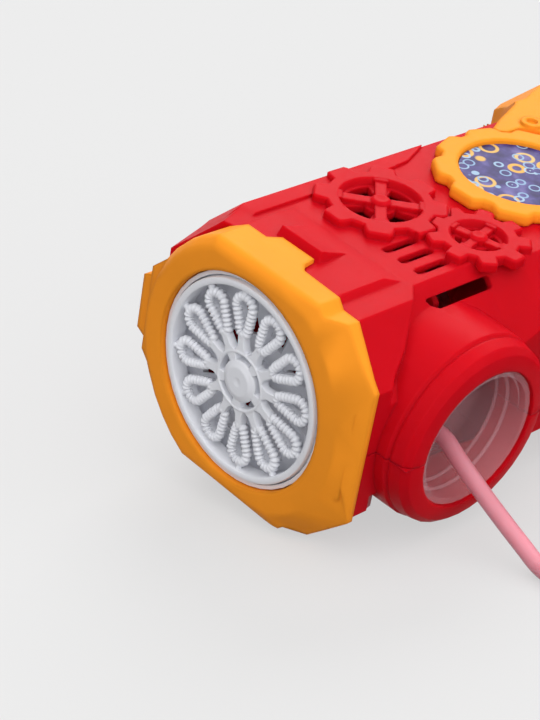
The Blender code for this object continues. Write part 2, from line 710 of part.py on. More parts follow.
def top_rail():
    """A low rail along the edge of the pistol's top, rising behind the bezel."""
    edge = FRONT_CHAMFER - HALF_WIDTH
    inner = edge + 0.0057
    rings = []
    for y, rise in ((0.0090, -0.0055), (0.0220, RAIL_RISE), (0.1200, RAIL_RISE)):
        top = HALF_HEIGHT + rise
        outline = ((inner, top - 0.003), (inner, top), (edge, top), (edge - 0.012, top - 0.012),
                   (edge - 0.012, top - 0.016), (edge, top - 0.003))
        rings.append([Vector((x, y, z)) for x, z in outline])
    rail = loft("rail", rings)
    plan = [(-0.06, 0.0), (0.0, 0.0), (0.0, 0.078), (inner - GAP, 0.078), (inner - 0.0008, 0.084),
            (edge + 0.0005, 0.0945), (-0.06, 0.1250)]
    return keep(rail, prism("plan", plan, "Z", -0.1, 0.1))


def front_panel():
    """The raised panel behind the bezel, ramped at its rear, with a wedge on it."""
    sink = 0.0010
    top = HALF_HEIGHT + PANEL_RISE
    half = PANEL_HALF_WIDTH
    low_half = half + PANEL_RISE + sink
    low_end = PANEL_END + PANEL_RAMP * (PANEL_RISE + sink) / PANEL_RISE
    high = [(-half, 0.002), (half, 0.002), (half, PANEL_END), (-half, PANEL_END)]
    low = [(-low_half, 0.002), (low_half, 0.002), (low_half, low_end), (-low_half, low_end)]
    panel = loft("front_panel", [[Vector((x, y, HALF_HEIGHT - sink)) for x, y in low],
                                 [Vector((x, y, top)) for x, y in high]])
    crest = HALF_HEIGHT + PAD_RISE
    wedge_front = 0.0172
    wedge_crest = 0.0192
    run = (PANEL_END - GAP - wedge_crest) / (crest - top)
    wedge_end = wedge_crest + run * (crest - top + sink)
    wedge = []
    for x, slant in ((-0.0115, 0.0005), (0.0060, -0.0013)):
        wedge.append([Vector((x, wedge_front, top - sink)), Vector((x + slant, wedge_crest, crest)),
                      Vector((x, wedge_end, top - sink))])
    return add(panel, loft("wedge", wedge))


def grip_outline():
    """The grip seen from the side, anticlockwise in (x, y)."""
    root = HALF_WIDTH - 0.0080
    rear = GRIP_FRONT + GRIP_DEPTH
    end = GRIP_END
    side = HALF_WIDTH
    front = GRIP_FRONT
    return [(root, front - 0.0100), (side + 0.004, front - 0.0080), (side + 0.012, front),
            (end - 0.030, front + 0.0010), (end - 0.006, front - 0.0005), (end, front + 0.0040),
            (end, rear - 0.0040), (end - 0.006, rear + 0.0020), (side + 0.022, rear - 0.0010),
            (side + 0.004, rear + 0.0080), (root, rear + 0.0140)]


def grip_solid(name, inward):
    edge_round = GRIP_ROUND - inward
    outline = inset(grip_outline(), inward)
    narrow = inset(grip_outline(), inward + edge_round * 0.8)
    thick = GRIP_HALF_THICK - inward
    rings = []
    for ring, z in ((narrow, -thick), (outline, edge_round - thick), (outline, thick - edge_round),
                    (narrow, thick)):
        rings.append([Vector((x, y, z)) for x, y in ring])
    return loft(name, rings)


def socket_solid():
    """The bottle socket's outside, with a groove where its front ring starts."""
    root = HALF_WIDTH - BODY_CHAMFER
    groove = SOCKET_END - 0.0068
    r = SOCKET_RADIUS
    round_off = SOCKET_ROUND
    profile = [(0.0, root), (r + 0.0012, root), (r + 0.0006, groove - 0.0008), (r - 0.0004, groove),
               (r, groove + 0.0006)]
    for k in range(1, 4):
        angle = math.pi / 2 * k / 3
        profile.append((r - round_off * (1 - math.cos(angle)),
                        SOCKET_END - round_off * (1 - math.sin(angle))))
    profile.append((0.0, SOCKET_END))
    return turned("socket", profile, "X", (SOCKET_Y, 0), 36)


def relief(spec):
    """A raised gear with a spoked wheel sunk in its bore, standing on the left panel."""
    centre = (spec["x"], spec["y"])
    base = HALF_HEIGHT - 0.0100
    foot = HALF_HEIGHT - 0.0006
    top = HALF_HEIGHT + RELIEF_RISE
    soft = 0.0005
    outline = relief_outline(spec)
    solid = loft("relief", [[Vector((x, y, z)) for x, y in points] for points, z in
                            ((outline, foot), (outline, top - soft), (inset(outline, soft), top))])
    floor = HALF_HEIGHT + 0.0002
    cut(solid, turned("bore", ((0.0, floor), (spec["bore"] - soft, floor), (spec["bore"], top - soft),
                               (spec["bore"] + 2 * soft, top + soft), (0.0, top + soft)), "Z", centre, 28))
    half = spec["spoke"] / 2
    reach = spec["bore"] + 0.0004
    spoke_top = floor + 0.0015
    for turn in (spec["spoke_turn"], spec["spoke_turn"] + math.pi / 2):
        bar = box("bar", (-reach, -half, base), (reach, half, spoke_top))
        place = Matrix.Translation((centre[0], centre[1], 0)) @ Matrix.Rotation(turn, 4, "Z")
        add(solid, moved(bar, place))
        for end in (-1, 1):
            low, high = sorted((end * (reach - 0.0014), end * (reach + 0.0004)))
            stop = box("stop", (low, -1.3 * half, base), (high, 1.3 * half, spoke_top + soft))
            add(solid, moved(stop, place))
    hub = spec["hub"]
    hub_top = spoke_top + 0.0009
    dimple = ((0.0, base), (hub, base), (hub, hub_top - 0.0007), (hub - 0.0009, hub_top), (0.0012, hub_top),
              (0.0, hub_top - 0.0004))
    return add(solid, turned("hub", dimple, "Z", centre, 16))


def small_relief():
    """The small gear, cut back where the big gear and the picture's bezel come close."""
    solid = relief(SMALL_RELIEF)
    low = HALF_HEIGHT - 0.0004
    high = HALF_HEIGHT + 0.0100
    groove = 2 * GAP
    cut(solid, prism("mesh", relief_outline(BIG_RELIEF, groove), "Z", low, high))
    ring_space = RING_ROOT + RING_TOOTH + GAP
    return cut(solid, rod("ring_space", ring_space, "Z", (0, PICTURE_Y), low, high, 48))


def relief_openings(spec):
    """The kidney holes between a relief's spokes, right through the wall."""
    centre = (spec["x"], spec["y"])
    inner = spec["hub"] + 0.0016
    outer = spec["bore"] - 0.0016
    half = math.pi / 4 - math.asin(spec["spoke"] / 2 / ((inner + outer) / 2)) - 0.10
    holes = []
    for n in range(4):
        turn = spec["spoke_turn"] + math.pi / 4 + n * math.pi / 2
        holes.append(prism("kidney", sector(inner, outer, turn, half, centre), "Z",
                           HALF_HEIGHT - WALL - 0.002, HALF_HEIGHT + RELIEF_RISE + 0.002))
    return holes


def long_vent():
    """The slanting slot through the sloping wall above the bottle socket."""
    w = LONG_VENT_WIDTH / 2
    d = LONG_VENT_LENGTH / 2
    corner = 0.0006
    slant = 0.0018
    outline = [(corner - w, -d), (w - corner, slant - d), (w, slant + corner - d), (w, d - corner),
               (w - corner, d), (corner - w, d), (-w, d - corner), (-w, corner - d)]
    slot = prism("long_vent", outline, "Z", -0.006, 0.006)
    spot = (HALF_WIDTH - BODY_CHAMFER + LONG_VENT_DROP, LONG_VENT_Y, HALF_HEIGHT - LONG_VENT_DROP)
    return moved(slot, Matrix.Translation(spot) @ Matrix.Rotation(math.pi / 4, 4, "Y"))


def half_shell(name):
    """The left half: body, socket and grip in one skin, with its reliefs and openings."""
    shell = body_solid(name, 0.0)
    add(shell, front_section(), socket_solid(), grip_solid("grip", 0.0))
    add(shell, top_rail(), front_panel(), relief(BIG_RELIEF), small_relief())
    cut(shell, body_solid("hollow", WALL), grip_solid("grip_hollow", WALL))
    reach = BODY_LENGTH + 0.1
    keep(shell, box("left_side", (-reach, -reach, GAP / 2), (reach, reach, reach)))
    cut(shell, bezel_side(GAP))
    cut(shell, rod("socket_bore", SOCKET_BORE, "X", (SOCKET_Y, 0), 0.0, SOCKET_END + 0.01, 36))
    cut(shell, *relief_openings(BIG_RELIEF), *relief_openings(SMALL_RELIEF))
    for x in VENT_XS:
        vent = shifted(rounded_slot(VENT_LENGTH, VENT_WIDTH), x, VENT_Y)
        cut(shell, prism("vent", vent, "Z", HALF_HEIGHT - WALL - 0.002, HALF_HEIGHT + 0.005))
    cut(shell, long_vent(), trigger_opening())
    return shell


def trigger_opening():
    half = TRIGGER_THICK / 2 + GAP
    return box("trigger_opening", (TRIGGER_X - TRIGGER_HEIGHT / 2 - GAP, GRIP_FRONT - 0.020, -half),
               (TRIGGER_X + TRIGGER_HEIGHT / 2 + GAP, GRIP_FRONT + WALL + 0.0015, half))


def post_top(x, y):
    """How far a screw post reaches up to the shell's inside at (x, y)."""
    if (x, y) in GRIP_POSTS:
        return GRIP_HALF_THICK - WALL / 2
    slope = HALF_WIDTH + HALF_HEIGHT - FRONT_CHAMFER - 1.2 * WALL
    return min(HALF_HEIGHT - WALL / 2, slope - abs(x) - BOSS_OUTER * 0.5)


def add_posts(shell, side):
    """Screw posts: pilot holes on the left half, wells for the screws on the right half."""
    for x, y in BODY_POSTS + GRIP_POSTS:
        low, high = sorted((side * GAP / 2, side * post_top(x, y)))
        outer = BOSS_OUTER if side > 0 else SCREW_HEAD + GAP + BOSS_WALL / 2
        add(shell, rod("post", outer, "Z", (x, y), low, high, 10))
        if side > 0:
            cut(shell, rod("pilot", SCREW_PILOT, "Z", (x, y), -0.001, SCREW_LENGTH - SCREW_SEAT + 0.001, 8))
        else:
            cut(shell, rod("hole", SCREW_PILOT, "Z", (x, y), -SCREW_SEAT - 0.001, 0.001, 8))
            cut(shell, rod("well", SCREW_HEAD + GAP, "Z", (x, y), -HALF_HEIGHT - 0.01, -SCREW_SEAT, 10))


def door_outline(clear):
    half = TRAY_HALF_WIDTH - 0.0030 + clear
    return rectangle((TRAY_START + 0.0010 - clear, GRIP_MID - half),
                     (TRAY_END - 0.0040 + clear, GRIP_MID + half))


def shells():
    left = half_shell("left_shell")
    right = moved(copied(left, "right_shell"), Matrix.Diagonal((1, 1, -1, 1)))
    add_posts(left, 1)
    add_posts(right, -1)
    cut(left, prism("door_opening", door_outline(GAP), "Z",
                    GRIP_HALF_THICK - WALL - 0.003, GRIP_HALF_THICK + 0.01))
    for x, y in board_posts():
        add(right, rod("board_post", 0.0022, "Z", (x, y), -HALF_HEIGHT + WALL / 2, BOARD_Z - GAP, 10))
    seat = switch_box()
    add(right, box("switch_seat", (seat[0][0] + 0.002, seat[0][1] + 0.002, WALL / 2 - GRIP_HALF_THICK),
                   (seat[1][0] - 0.002, seat[1][1] - 0.002, seat[0][2] - GAP)))
    return left, right


def screws():
    made = []
    for n, (x, y) in enumerate(BODY_POSTS + GRIP_POSTS, 1):
        seat = -SCREW_SEAT - GAP
        profile = ((0.0, seat - 0.0020), (SCREW_HEAD - 0.0008, seat - 0.0020), (SCREW_HEAD, seat - 0.0010),
                   (SCREW_HEAD, seat), (SCREW_RADIUS, seat), (SCREW_RADIUS, seat + SCREW_LENGTH - 0.001),
                   (0.0, seat + SCREW_LENGTH))
        made.append(turned("shell_screw_%d" % n, profile, "Z", (x, y), 8))
    return made


def top_cover():
    """The yellow cover over the rear of the pistol's top, with its round mark and ribs."""
    start = COVER_FRONT[-1][1] - 0.0010
    end = TAIL_START - 0.002
    edge_round = 0.0008
    inner = octagon(HALF_WIDTH + GAP, HALF_HEIGHT + GAP, FRONT_CHAMFER)
    stations = ((start, 0.0, 0.0), (TAIL_START - HUMP_START, 0.0, 0.0),
                (TAIL_START - HUMP_END, HUMP_RISE, 0.0),
                (end - edge_round, HUMP_RISE, 0.0), (end, HUMP_RISE, edge_round))
    rings = []
    for y, rise, shrink in stations:
        outer = octagon(HALF_WIDTH + COVER_THICK + rise, HALF_HEIGHT + COVER_RISE, FRONT_CHAMFER)
        rings.append([Vector((x, y, z)) for x, z in inset(outer, shrink)])
    cover = loft("top_cover", rings)
    cut(cover, prism("body_space", inner, "Y", 0.0, BODY_LENGTH + 0.1))
    fin_low = -HALF_WIDTH - COVER_THICK - HUMP_RISE
    fin_rise = 0.0030
    fin_half = 0.0140
    fin_start = COVER_FRONT[1][1]
    fin = [(fin_low - fin_rise, fin_start + 0.0030), (fin_low + fin_rise, fin_start - 0.0030),
           (fin_low + fin_rise, end - 0.004), (fin_low - fin_rise, end - 0.007)]
    add(cover, prism("fin", fin, "Z", -fin_half, fin_half))
    rear = end + 0.05
    corner = COVER_FRONT[-1]
    side = [*COVER_FRONT, (corner[0] + 0.0040, corner[1] + 0.0002), (corner[0] + 0.0040, corner[1] + 0.0080),
            (corner[0] + 0.0130, corner[1] + 0.0170), (corner[0] + 0.0130, rear), (COVER_FRONT[0][0], rear)]
    keep(cover, prism("cover_side", side, "Z", -0.1, 0.1))
    mark = (corner[0] + 0.0040, corner[1] + 0.0135)
    for sign in (1, -1):
        level = sign * (HALF_HEIGHT + COVER_RISE - 0.0006)
        low, high = sorted((level, level + sign * 0.0016))
        add(cover, tube("mark", 0.0018, 0.0036, "Z", mark, low, high, 20))
    ring_space = RING_ROOT + RING_TOOTH + GAP
    cut(cover, rod("ring_space", ring_space, "Z", (0, PICTURE_Y), -0.1, 0.1, 60))
    groove = 0.0016
    for n in range(3):
        y = fin_start + 0.0055 + 2 * groove * n
        cut(cover, box("groove", (fin_low - 0.01, y, -0.03), (fin_low - groove, y + groove, 0.03)))
    return cover


def picture_rings():
    """The toothed yellow bezel and the printed disc on each side."""
    made = []
    soft = 0.0005
    for side, sign in (("left", 1), ("right", -1)):
        base = HALF_HEIGHT + GAP
        top = HALF_HEIGHT + RING_RISE
        outline = soft_toothed(RING_TEETH, RING_ROOT, RING_ROOT + RING_TOOTH, (0, PICTURE_Y),
                               math.pi / RING_TEETH)
        layers = ((outline, base), (outline, top - 2 * soft), (inset(outline, 0.3 * soft), top - soft),
                  (inset(outline, 1.2 * soft), top))
        rings = [[Vector((x, y, sign * z)) for x, y in points] for points, z in layers]
        ring = loft(side + "_gear_bezel", rings)
        window = PICTURE_RADIUS + GAP
        bore = ((0.0, base - 0.005), (window, base - 0.005), (window, top - soft),
                (window + 2 * soft, top + soft), (0.0, top + soft))
        cut(ring, turned("window", [(r, sign * z) for r, z in bore], "Z", (0, PICTURE_Y), 32))
        low, high = sorted((sign * base, sign * (top - 0.0014)))
        disc = rod(side + "_picture", PICTURE_RADIUS, "Z", (0, PICTURE_Y), low, high, 32)
        made += [ring, disc]
    return made


# Bottle socket

def bottle_collar():
    """The clear threaded insert: a tube with a floor that carries the hose nipple."""
    end = SOCKET_END - 0.0010
    inner = COLLAR_RADIUS - COLLAR_WALL
    floor = COLLAR_FLOOR_X
    inside = floor + COLLAR_FLOOR
    profile = ((0.0, floor), (COLLAR_RADIUS, floor), (COLLAR_RADIUS, end), (inner, end), (inner, inside),
               (0.0, inside))
    collar = turned("bottle_collar", profile, "X", (SOCKET_Y, 0), 32)
    cut(collar, rod("nipple_hole", HOSE_RADIUS + GAP, "X", (SOCKET_Y, NIPPLE_Z),
                    floor - 0.01, floor + 0.01, 16))
    for k in range(3):
        angle = math.pi / 2 + (k - 1) * 0.9
        spot = (SOCKET_Y + 0.0110 * math.cos(angle), 0.0110 * math.sin(angle))
        cut(collar, rod("air_hole", 0.0016, "X", spot, floor - 0.01, floor + 0.01, 12))
    return collar


def hose_nipple():
    """A stepped spigot through the collar's floor: hose outside, feed line inside."""
    floor = COLLAR_FLOOR_X
    outer_end = HOSE_ROUTE[0][0] - GAP
    bore = HOSE_RADIUS - 0.0012
    flange = HOSE_RADIUS + 0.0010
    seat = floor + COLLAR_FLOOR + GAP
    profile = ((bore, floor - NIPPLE_LENGTH), (HOSE_RADIUS, floor - NIPPLE_LENGTH), (HOSE_RADIUS, seat),
               (flange, seat), (flange, floor + 0.0030), (HOSE_RADIUS, outer_end), (bore, outer_end))
    return turned("hose_nipple", profile, "X", (SOCKET_Y, NIPPLE_Z), 16)


def smooth_route(points, spacing):
    """Read points at about even steps from a smooth curve through the route's points."""
    count = len(points)
    dense = []
    for i in range(count - 1):
        a = Vector(points[max(i - 1, 0)])
        b = Vector(points[i])
        c = Vector(points[i + 1])
        d = Vector(points[min(i + 2, count - 1)])
        for k in range(20):
            t = k / 20
            dense.append(0.5 * (2 * b + (c - a) * t + (2 * a - 5 * b + 4 * c - d) * t * t
                                + (3 * b - a - 3 * c + d) * t ** 3))
    dense.append(Vector(points[-1]))
    lengths = [0.0]
    for here, after in zip(dense, dense[1:]):
        lengths.append(lengths[-1] + (after - here).length)
    steps = max(2, round(lengths[-1] / spacing))
    result = []
    k = 0
    for n in range(steps + 1):
        want = lengths[-1] * n / steps
        while k < len(dense) - 2 and lengths[k + 1] < want:
            k += 1
        share = (want - lengths[k]) / (lengths[k + 1] - lengths[k])
        result.append(dense[k].lerp(dense[k + 1], share))
    return result


def hose(name, points, radius, resolution):
    curve = bpy.data.curves.new(name, "CURVE")
    curve.dimensions = "3D"
    curve.bevel_depth = radius
    curve.bevel_resolution = resolution
    curve.use_fill_caps = True
    spline = curve.splines.new("POLY")
    spline.points.add(len(points) - 1)
    for spot, point in zip(spline.points, points):
        spot.co = (*point, 1.0)
    obj = bpy.data.objects.new(name, curve)
    bpy.context.collection.objects.link(obj)
    return obj


def suction_hose():
    return hose("suction_hose", smooth_route(HOSE_ROUTE, 2.2 * HOSE_RADIUS), HOSE_RADIUS, 2)


def feed_hose():
    """The inner line: nipple, once round the pump's lobes, then forward to the cup."""
    middle = PUMP_Y + PUMP_DEPTH / 2
    start = COLLAR_FLOOR_X - NIPPLE_LENGTH - GAP
    route = [(start, SOCKET_Y, NIPPLE_Z), (start - 0.0040, SOCKET_Y, NIPPLE_Z)]
    entry = math.radians(-50)
    leave = math.radians(-310)
    for k in range(14):
        angle = entry + (leave - entry) * k / 13
        route.append((PUMP_RADIUS * math.cos(angle), middle, PUMP_RADIUS * math.sin(angle)))
    port = feed_port()
    route += [(port[0] - 0.004, middle - 0.001, port[1] - 0.004), (port[0], middle - 0.006, port[1]),
              (port[0], CUP_BACK + 0.0040, port[1]), (port[0], CUP_BACK + GAP, port[1])]
    return hose("feed_hose", smooth_route(route, 2.4 * FEED_RADIUS), FEED_RADIUS, 1)


def feed_port():
    """Where the inner line meets the cup's back, in (x, z)."""
    reach = CUP_RADIUS - 0.0065
    return (reach * math.cos(0.9), reach * math.sin(0.9))


# Drive train

def gear_shape(name, teeth, y, width, turn, bore):
    pitch = GEAR_MODULE * teeth / 2
    root = pitch - 1.25 * GEAR_MODULE
    tip = pitch + 0.9 * GEAR_MODULE
    pitch_length = math.pi * GEAR_MODULE
    root_share = 0.76 - TOOTH_PLAY / pitch_length
    tip_share = 0.36 - TOOTH_PLAY / pitch_length
    outline = toothed(teeth, root, tip, root_share, tip_share, (0, 0), turn)
    gear = prism(name, outline, "Y", y, y + width)
    cut(gear, rod("bore", bore, "Y", (0, 0), y - 0.01, y + width + 0.01, 12))
    return gear


def gear_frame():
    """Three plates on four posts: they carry the shafts, the pump and the motor."""
    w = PLATE_HALF_WIDTH
    h = PLATE_HALF_HEIGHT
    frame = None
    for n, y in enumerate((FRONT_PLATE_Y, PUMP_PLATE_Y, MOTOR_PLATE_Y)):
        plate = prism("plate", octagon(w, h, 0.006), "Y", y, y + PLATE_THICK)
        for sz in (1, -1):
            low, high = sorted((sz * (h - 0.013), sz * (h - 0.003)))
            window = rectangle((-0.015, low), (0.015, high))
            cut(plate, prism("window", window, "Y", y - 0.01, y + 0.02))
        if n == 1:
            notch = 4 * FEED_RADIUS
            cut(plate, box("notch", (PUMP_RADIUS, y - 0.01, NIPPLE_Z - notch),
                           (2 * w, y + 0.02, NIPPLE_Z + notch / 2)))
        idler_hole = SLEEVE_RADIUS + RUN if n == 1 else SHAFT_RADIUS + SHAFT_PLAY
        cut(plate, rod("idler_hole", idler_hole, "Y", (IDLER_X, 0), y - 0.01, y + 0.02, 12))
        middle_hole = MOTOR_RADIUS * 0.4 if n == 2 else SHAFT_RADIUS + SHAFT_PLAY
        cut(plate, rod("middle_hole", middle_hole, "Y", (0, 0), y - 0.01, y + 0.02, 12))
        frame = plate if frame is None else add(frame, plate)
    frame.name = "gear_frame"
    for sx in (1, -1):
        for sz in (1, -1):
            spot = (sx * (w - 0.0040), sz * (h - 0.0085))
            add(frame, rod("post", 0.0022, "Y", spot, FRONT_PLATE_Y + PLATE_THICK / 2,
                           MOTOR_PLATE_Y + PLATE_THICK / 2, 8))
    port = feed_port()
    cut(frame, rod("hose_way", FEED_RADIUS + 0.0008, "Y", port,
                   FRONT_PLATE_Y - 0.01, FRONT_PLATE_Y + 0.01, 12))
    return frame


def wand_drive():
    """The shaft through the disc, its gear and the pump rotor."""
    shaft = rod("wand_shaft", SHAFT_RADIUS, "Y", (0, 0), 0.0022, PUMP_PLATE_Y + PLATE_THICK - GAP, 16)
    gear = gear_shape("wand_gear", GEAR_TEETH, WAND_GEAR_Y, GEAR_WIDTH, 0.0, SHAFT_RADIUS + SHAFT_PLAY)
    lobe_tip = PUMP_RADIUS - FEED_RADIUS - 2 * GAP
    waist = lobe_tip * 0.62
    outline = []
    for k in range(36):
        angle = 2 * math.pi * k / 36
        swell = (0.5 + 0.5 * math.cos(PUMP_LOBES * angle)) ** 2
        radius = waist + (lobe_tip - waist) * swell
        outline.append((radius * math.cos(angle), radius * math.sin(angle)))
    rotor = prism("pump_rotor", outline, "Y", PUMP_Y + 0.0005, PUMP_Y + PUMP_DEPTH - 0.0005)
    cut(rotor, rod("bore", SHAFT_RADIUS + SHAFT_PLAY, "Y", (0, 0), 0.0, 0.1, 16))
    return shaft, gear, rotor


def pump_housing():
    """A C-shaped wall behind the squeezed hose, open towards the bottle socket."""
    inner = PUMP_RADIUS + FEED_RADIUS + GAP
    outer = inner + 0.0014
    housing = tube("pump_housing", inner, outer, "Y", (0, 0), PUMP_Y, PUMP_PLATE_Y - GAP, 40)
    reach = 2 * outer
    mouth = 1.25
    wedge = [(0.0, 0.0), (reach * math.cos(mouth), -reach * math.sin(mouth)), (reach, -reach), (reach, reach),
             (reach * math.cos(mouth), reach * math.sin(mouth))]
    cut(housing, prism("mouth", wedge, "Y", 0.0, 0.1))
    return housing


def idler():
    """The compound gear beside the shaft: large from the motor, small to the wand gear."""
    tooth = math.pi / PINION_TEETH
    large = gear_shape("idler_gear", GEAR_TEETH, DRIVE_GEAR_Y, GEAR_WIDTH, 0.0, SHAFT_RADIUS + GAP)
    small = gear_shape("idler_pinion", PINION_TEETH, WAND_GEAR_Y, GEAR_WIDTH, tooth, SHAFT_RADIUS + GAP)
    sleeve = tube("idler_sleeve", SHAFT_RADIUS + GAP, SLEEVE_RADIUS, "Y", (0, 0),
                  WAND_GEAR_Y + GEAR_WIDTH - 0.0005, DRIVE_GEAR_Y + 0.0005, 12)
    add(large, small, sleeve)
    shaft = rod("idler_shaft", SHAFT_RADIUS, "Y", (0, 0), FRONT_PLATE_Y + GAP,
                MOTOR_PLATE_Y + PLATE_THICK - GAP, 16)
    for obj in (large, shaft):
        moved(obj, Matrix.Translation((IDLER_X, 0, 0)))
    return large, shaft


def motor():
    back = MOTOR_Y + MOTOR_LENGTH
    r = MOTOR_RADIUS
    profile = ((0.0, MOTOR_Y), (r - 0.0008, MOTOR_Y), (r, MOTOR_Y + 0.0008), (r, back - 0.0040),
               (r - 0.0006, back - 0.0030), (r - 0.0006, back), (0.0, back))
    can = turned("motor", profile, "Y", (0, 0), 20)
    flat = r * 0.80
    for sign in (1, -1):
        low, high = sorted((sign * flat, sign * r * 2))
        cut(can, box("flat", (-0.05, MOTOR_Y - 0.01, low), (0.05, back + 0.01, high)))
    cut(can, rod("bore", SHAFT_RADIUS + SHAFT_PLAY, "Y", (0, 0), 0.0, 0.2, 16))
    return can


def motor_drive():
    """The motor's through shaft with its front pinion and the fan behind."""
    tooth = math.pi / PINION_TEETH
    shaft = rod("motor_shaft", SHAFT_RADIUS, "Y", (0, 0), PUMP_PLATE_Y + PLATE_THICK + GAP,
                FAN_Y + FAN_DEPTH, 16)
    pinion = gear_shape("motor_pinion", PINION_TEETH, DRIVE_GEAR_Y, GEAR_WIDTH,
                        tooth if GEAR_TEETH % 2 else 0.0, SHAFT_RADIUS + SHAFT_PLAY)
    moved(pinion, Matrix.Rotation(-math.pi / PINION_TEETH, 4, "Y"))
    hub = rod("fan", 0.0060, "Y", (0, 0), FAN_Y, FAN_Y + FAN_DEPTH, 24)
    lean = math.radians(40)
    for n in range(FAN_BLADES):
        rings = []
        for radius, share in ((0.0052, 0.55), (FAN_RADIUS * 0.6, 0.95), (FAN_RADIUS, 1.0)):
            half = FAN_DEPTH * 0.46 * share
            slant = half * math.tan(lean)
            thick = 0.0006
            rings.append([Vector((radius, FAN_Y + FAN_DEPTH / 2 + sy * half, sy * slant + st * thick))
                          for sy, st in ((-1, -1), (1, -1), (1, 1), (-1, 1))])
        blade = loft("blade", rings)
        add(hub, moved(blade, Matrix.Rotation(2 * math.pi * n / FAN_BLADES, 4, "Y")))
    cut(hub, rod("bore", SHAFT_RADIUS + SHAFT_PLAY, "Y", (0, 0), 0.0, 0.3, 16))
    return shaft, pinion, hub


def fan_shroud():
    """A bulkhead across the body with a round hole for the fan."""
    y = FAN_Y + FAN_DEPTH / 2
    outline = octagon(HALF_WIDTH - WALL - GAP, HALF_HEIGHT - WALL - GAP, FRONT_CHAMFER - OCTAGON_INSET * WALL)
    plate = prism("fan_shroud", outline, "Y", y - 0.0009, y + 0.0009)
    cut(plate, rod("hole", FAN_RADIUS + 0.0015, "Y", (0, 0), 0.0, 0.3, 40))
    return plate


# Grip contents

def trigger_outline():
    """The trigger seen from the side, with its hollowed finger face."""
    top = TRIGGER_X - TRIGGER_HEIGHT / 2
    end = TRIGGER_X + TRIGGER_HEIGHT / 2
    face = GRIP_FRONT - TRIGGER_REACH
    back = GRIP_FRONT + WALL + 0.0010
    hollow = 0.0030
    points = [(top, back), (top, face + 0.0010)]
    for k in range(1, 6):
        share = k / 6
        curve = hollow * math.sin(math.pi * share) + 0.0010 * (1 - share)
        points.append((top + TRIGGER_HEIGHT * share, face + curve))
    points += [(end, face), (end, back)]
    return points


def trigger():
    half = TRIGGER_THICK / 2
    soft = 0.0008
    outline = trigger_outline()
    body = loft("trigger", [[Vector((x, y, z)) for x, y in points] for points, z in
                            ((inset(outline, soft), -half), (outline, soft - half), (outline, half - soft),
                             (inset(outline, soft), half))])
    back = GRIP_FRONT + WALL + 0.0010
    flange = half + 0.0020
    add(body, box("flange", (TRIGGER_X - TRIGGER_HEIGHT / 2 - 0.0005, back + 0.0008, -flange),
                  (TRIGGER_X - TRIGGER_HEIGHT / 2 + 0.0085, back + 0.0035, flange)))
    add(body, box("neck", (TRIGGER_X - TRIGGER_HEIGHT / 2 + 0.0005, back - 0.002, -half + 0.001),
                  (TRIGGER_X - TRIGGER_HEIGHT / 2 + 0.0080, back + 0.002, half - 0.001)))
    return body


def trigger_back():
    return GRIP_FRONT + WALL + 0.0045


def spring_axis():
    return TRIGGER_X - TRIGGER_HEIGHT / 2 + 0.0040


def switch_box():
    """Corners of the switch behind the trigger's spring."""
    y = trigger_back() + TRIGGER_TRAVEL + 0.0060
    x = spring_axis()
    return ((x - 0.0050, y, -0.0060), (x + 0.0050, y + 0.0080, 0.0060))


def trigger_spring():
    """A coil between the trigger's back and the switch."""
    low = trigger_back() + SPRING_WIRE + GAP
    high = switch_box()[0][1] - SPRING_WIRE - GAP
    steps = SPRING_COILS * 9
    points = []
    for k in range(steps + 1):
        turn = 2 * math.pi * SPRING_COILS * k / steps
        points.append(Vector((spring_axis() + SPRING_RADIUS * math.cos(turn), low + (high - low) * k / steps,
                              SPRING_RADIUS * math.sin(turn))))
    least = min((points[i] - points[j]).length for i in range(steps + 1) for j in range(i + 7, steps + 1))
    print("spring: least gap to itself %.2f mm" % (1000 * (least - 2 * SPRING_WIRE)))
    return hose("trigger_spring", points, SPRING_WIRE, 1)


def trigger_switch():
    low, high = switch_box()
    body = box("trigger_switch", low, high)
    x = (low[0] + high[0]) / 2
    for dx in (-0.003, 0.0, 0.003):
        add(body, box("pin", (x + dx - 0.0004, high[1] - 0.0005, -0.0010),
                      (x + dx + 0.0004, high[1] + 0.0030, 0.0010)))
    return body


def tray_outline(inward, top):
    """The tray's cross-section in (y, z), with its lower corners cut off."""
    half = TRAY_HALF_WIDTH - inward
    low = TRAY_FLOOR_Z + inward
    corner = GRIP_ROUND - WALL
    points = [(-half, top), (-half, low + corner), (corner - half, low), (half - corner, low),
              (half, low + corner), (half, top)]
    return shifted(points, GRIP_MID, 0.0)


def battery_tray():
    top = LOW_CELL_Z + CELL_RADIUS * 0.6
    tray = prism("battery_tray", tray_outline(0.0, top), "X", TRAY_START, TRAY_END)
    space = prism("space", tray_outline(TRAY_WALL, top + 0.01), "X", TRAY_START + TRAY_WALL,
                  TRAY_END - TRAY_WALL)
    return cut(tray, space)


def cell_spots():
    return ((GRIP_MID - CELL_SPREAD, LOW_CELL_Z), (GRIP_MID + CELL_SPREAD, LOW_CELL_Z),
            (GRIP_MID, LOW_CELL_Z + CELL_RISE))


def batteries():
    start = TRAY_START + TRAY_WALL + CONTACT_THICK + 2 * GAP
    made = []
    for n, spot in enumerate(cell_spots(), 1):
        flip = n == 2
        nub = 0.0012
        nub_radius = 0.0026
        shoulder = CELL_LENGTH - nub
        profile = [(0.0, 0.0), (CELL_RADIUS, 0.0), (CELL_RADIUS, shoulder), (nub_radius, shoulder),
                   (nub_radius, CELL_LENGTH), (0.0, CELL_LENGTH)]
        if flip:
            profile = [(r, CELL_LENGTH - t) for r, t in profile]
        made.append(turned("battery_%d" % n, [(r, start + t) for r, t in profile], "X", spot, 14))
    return made


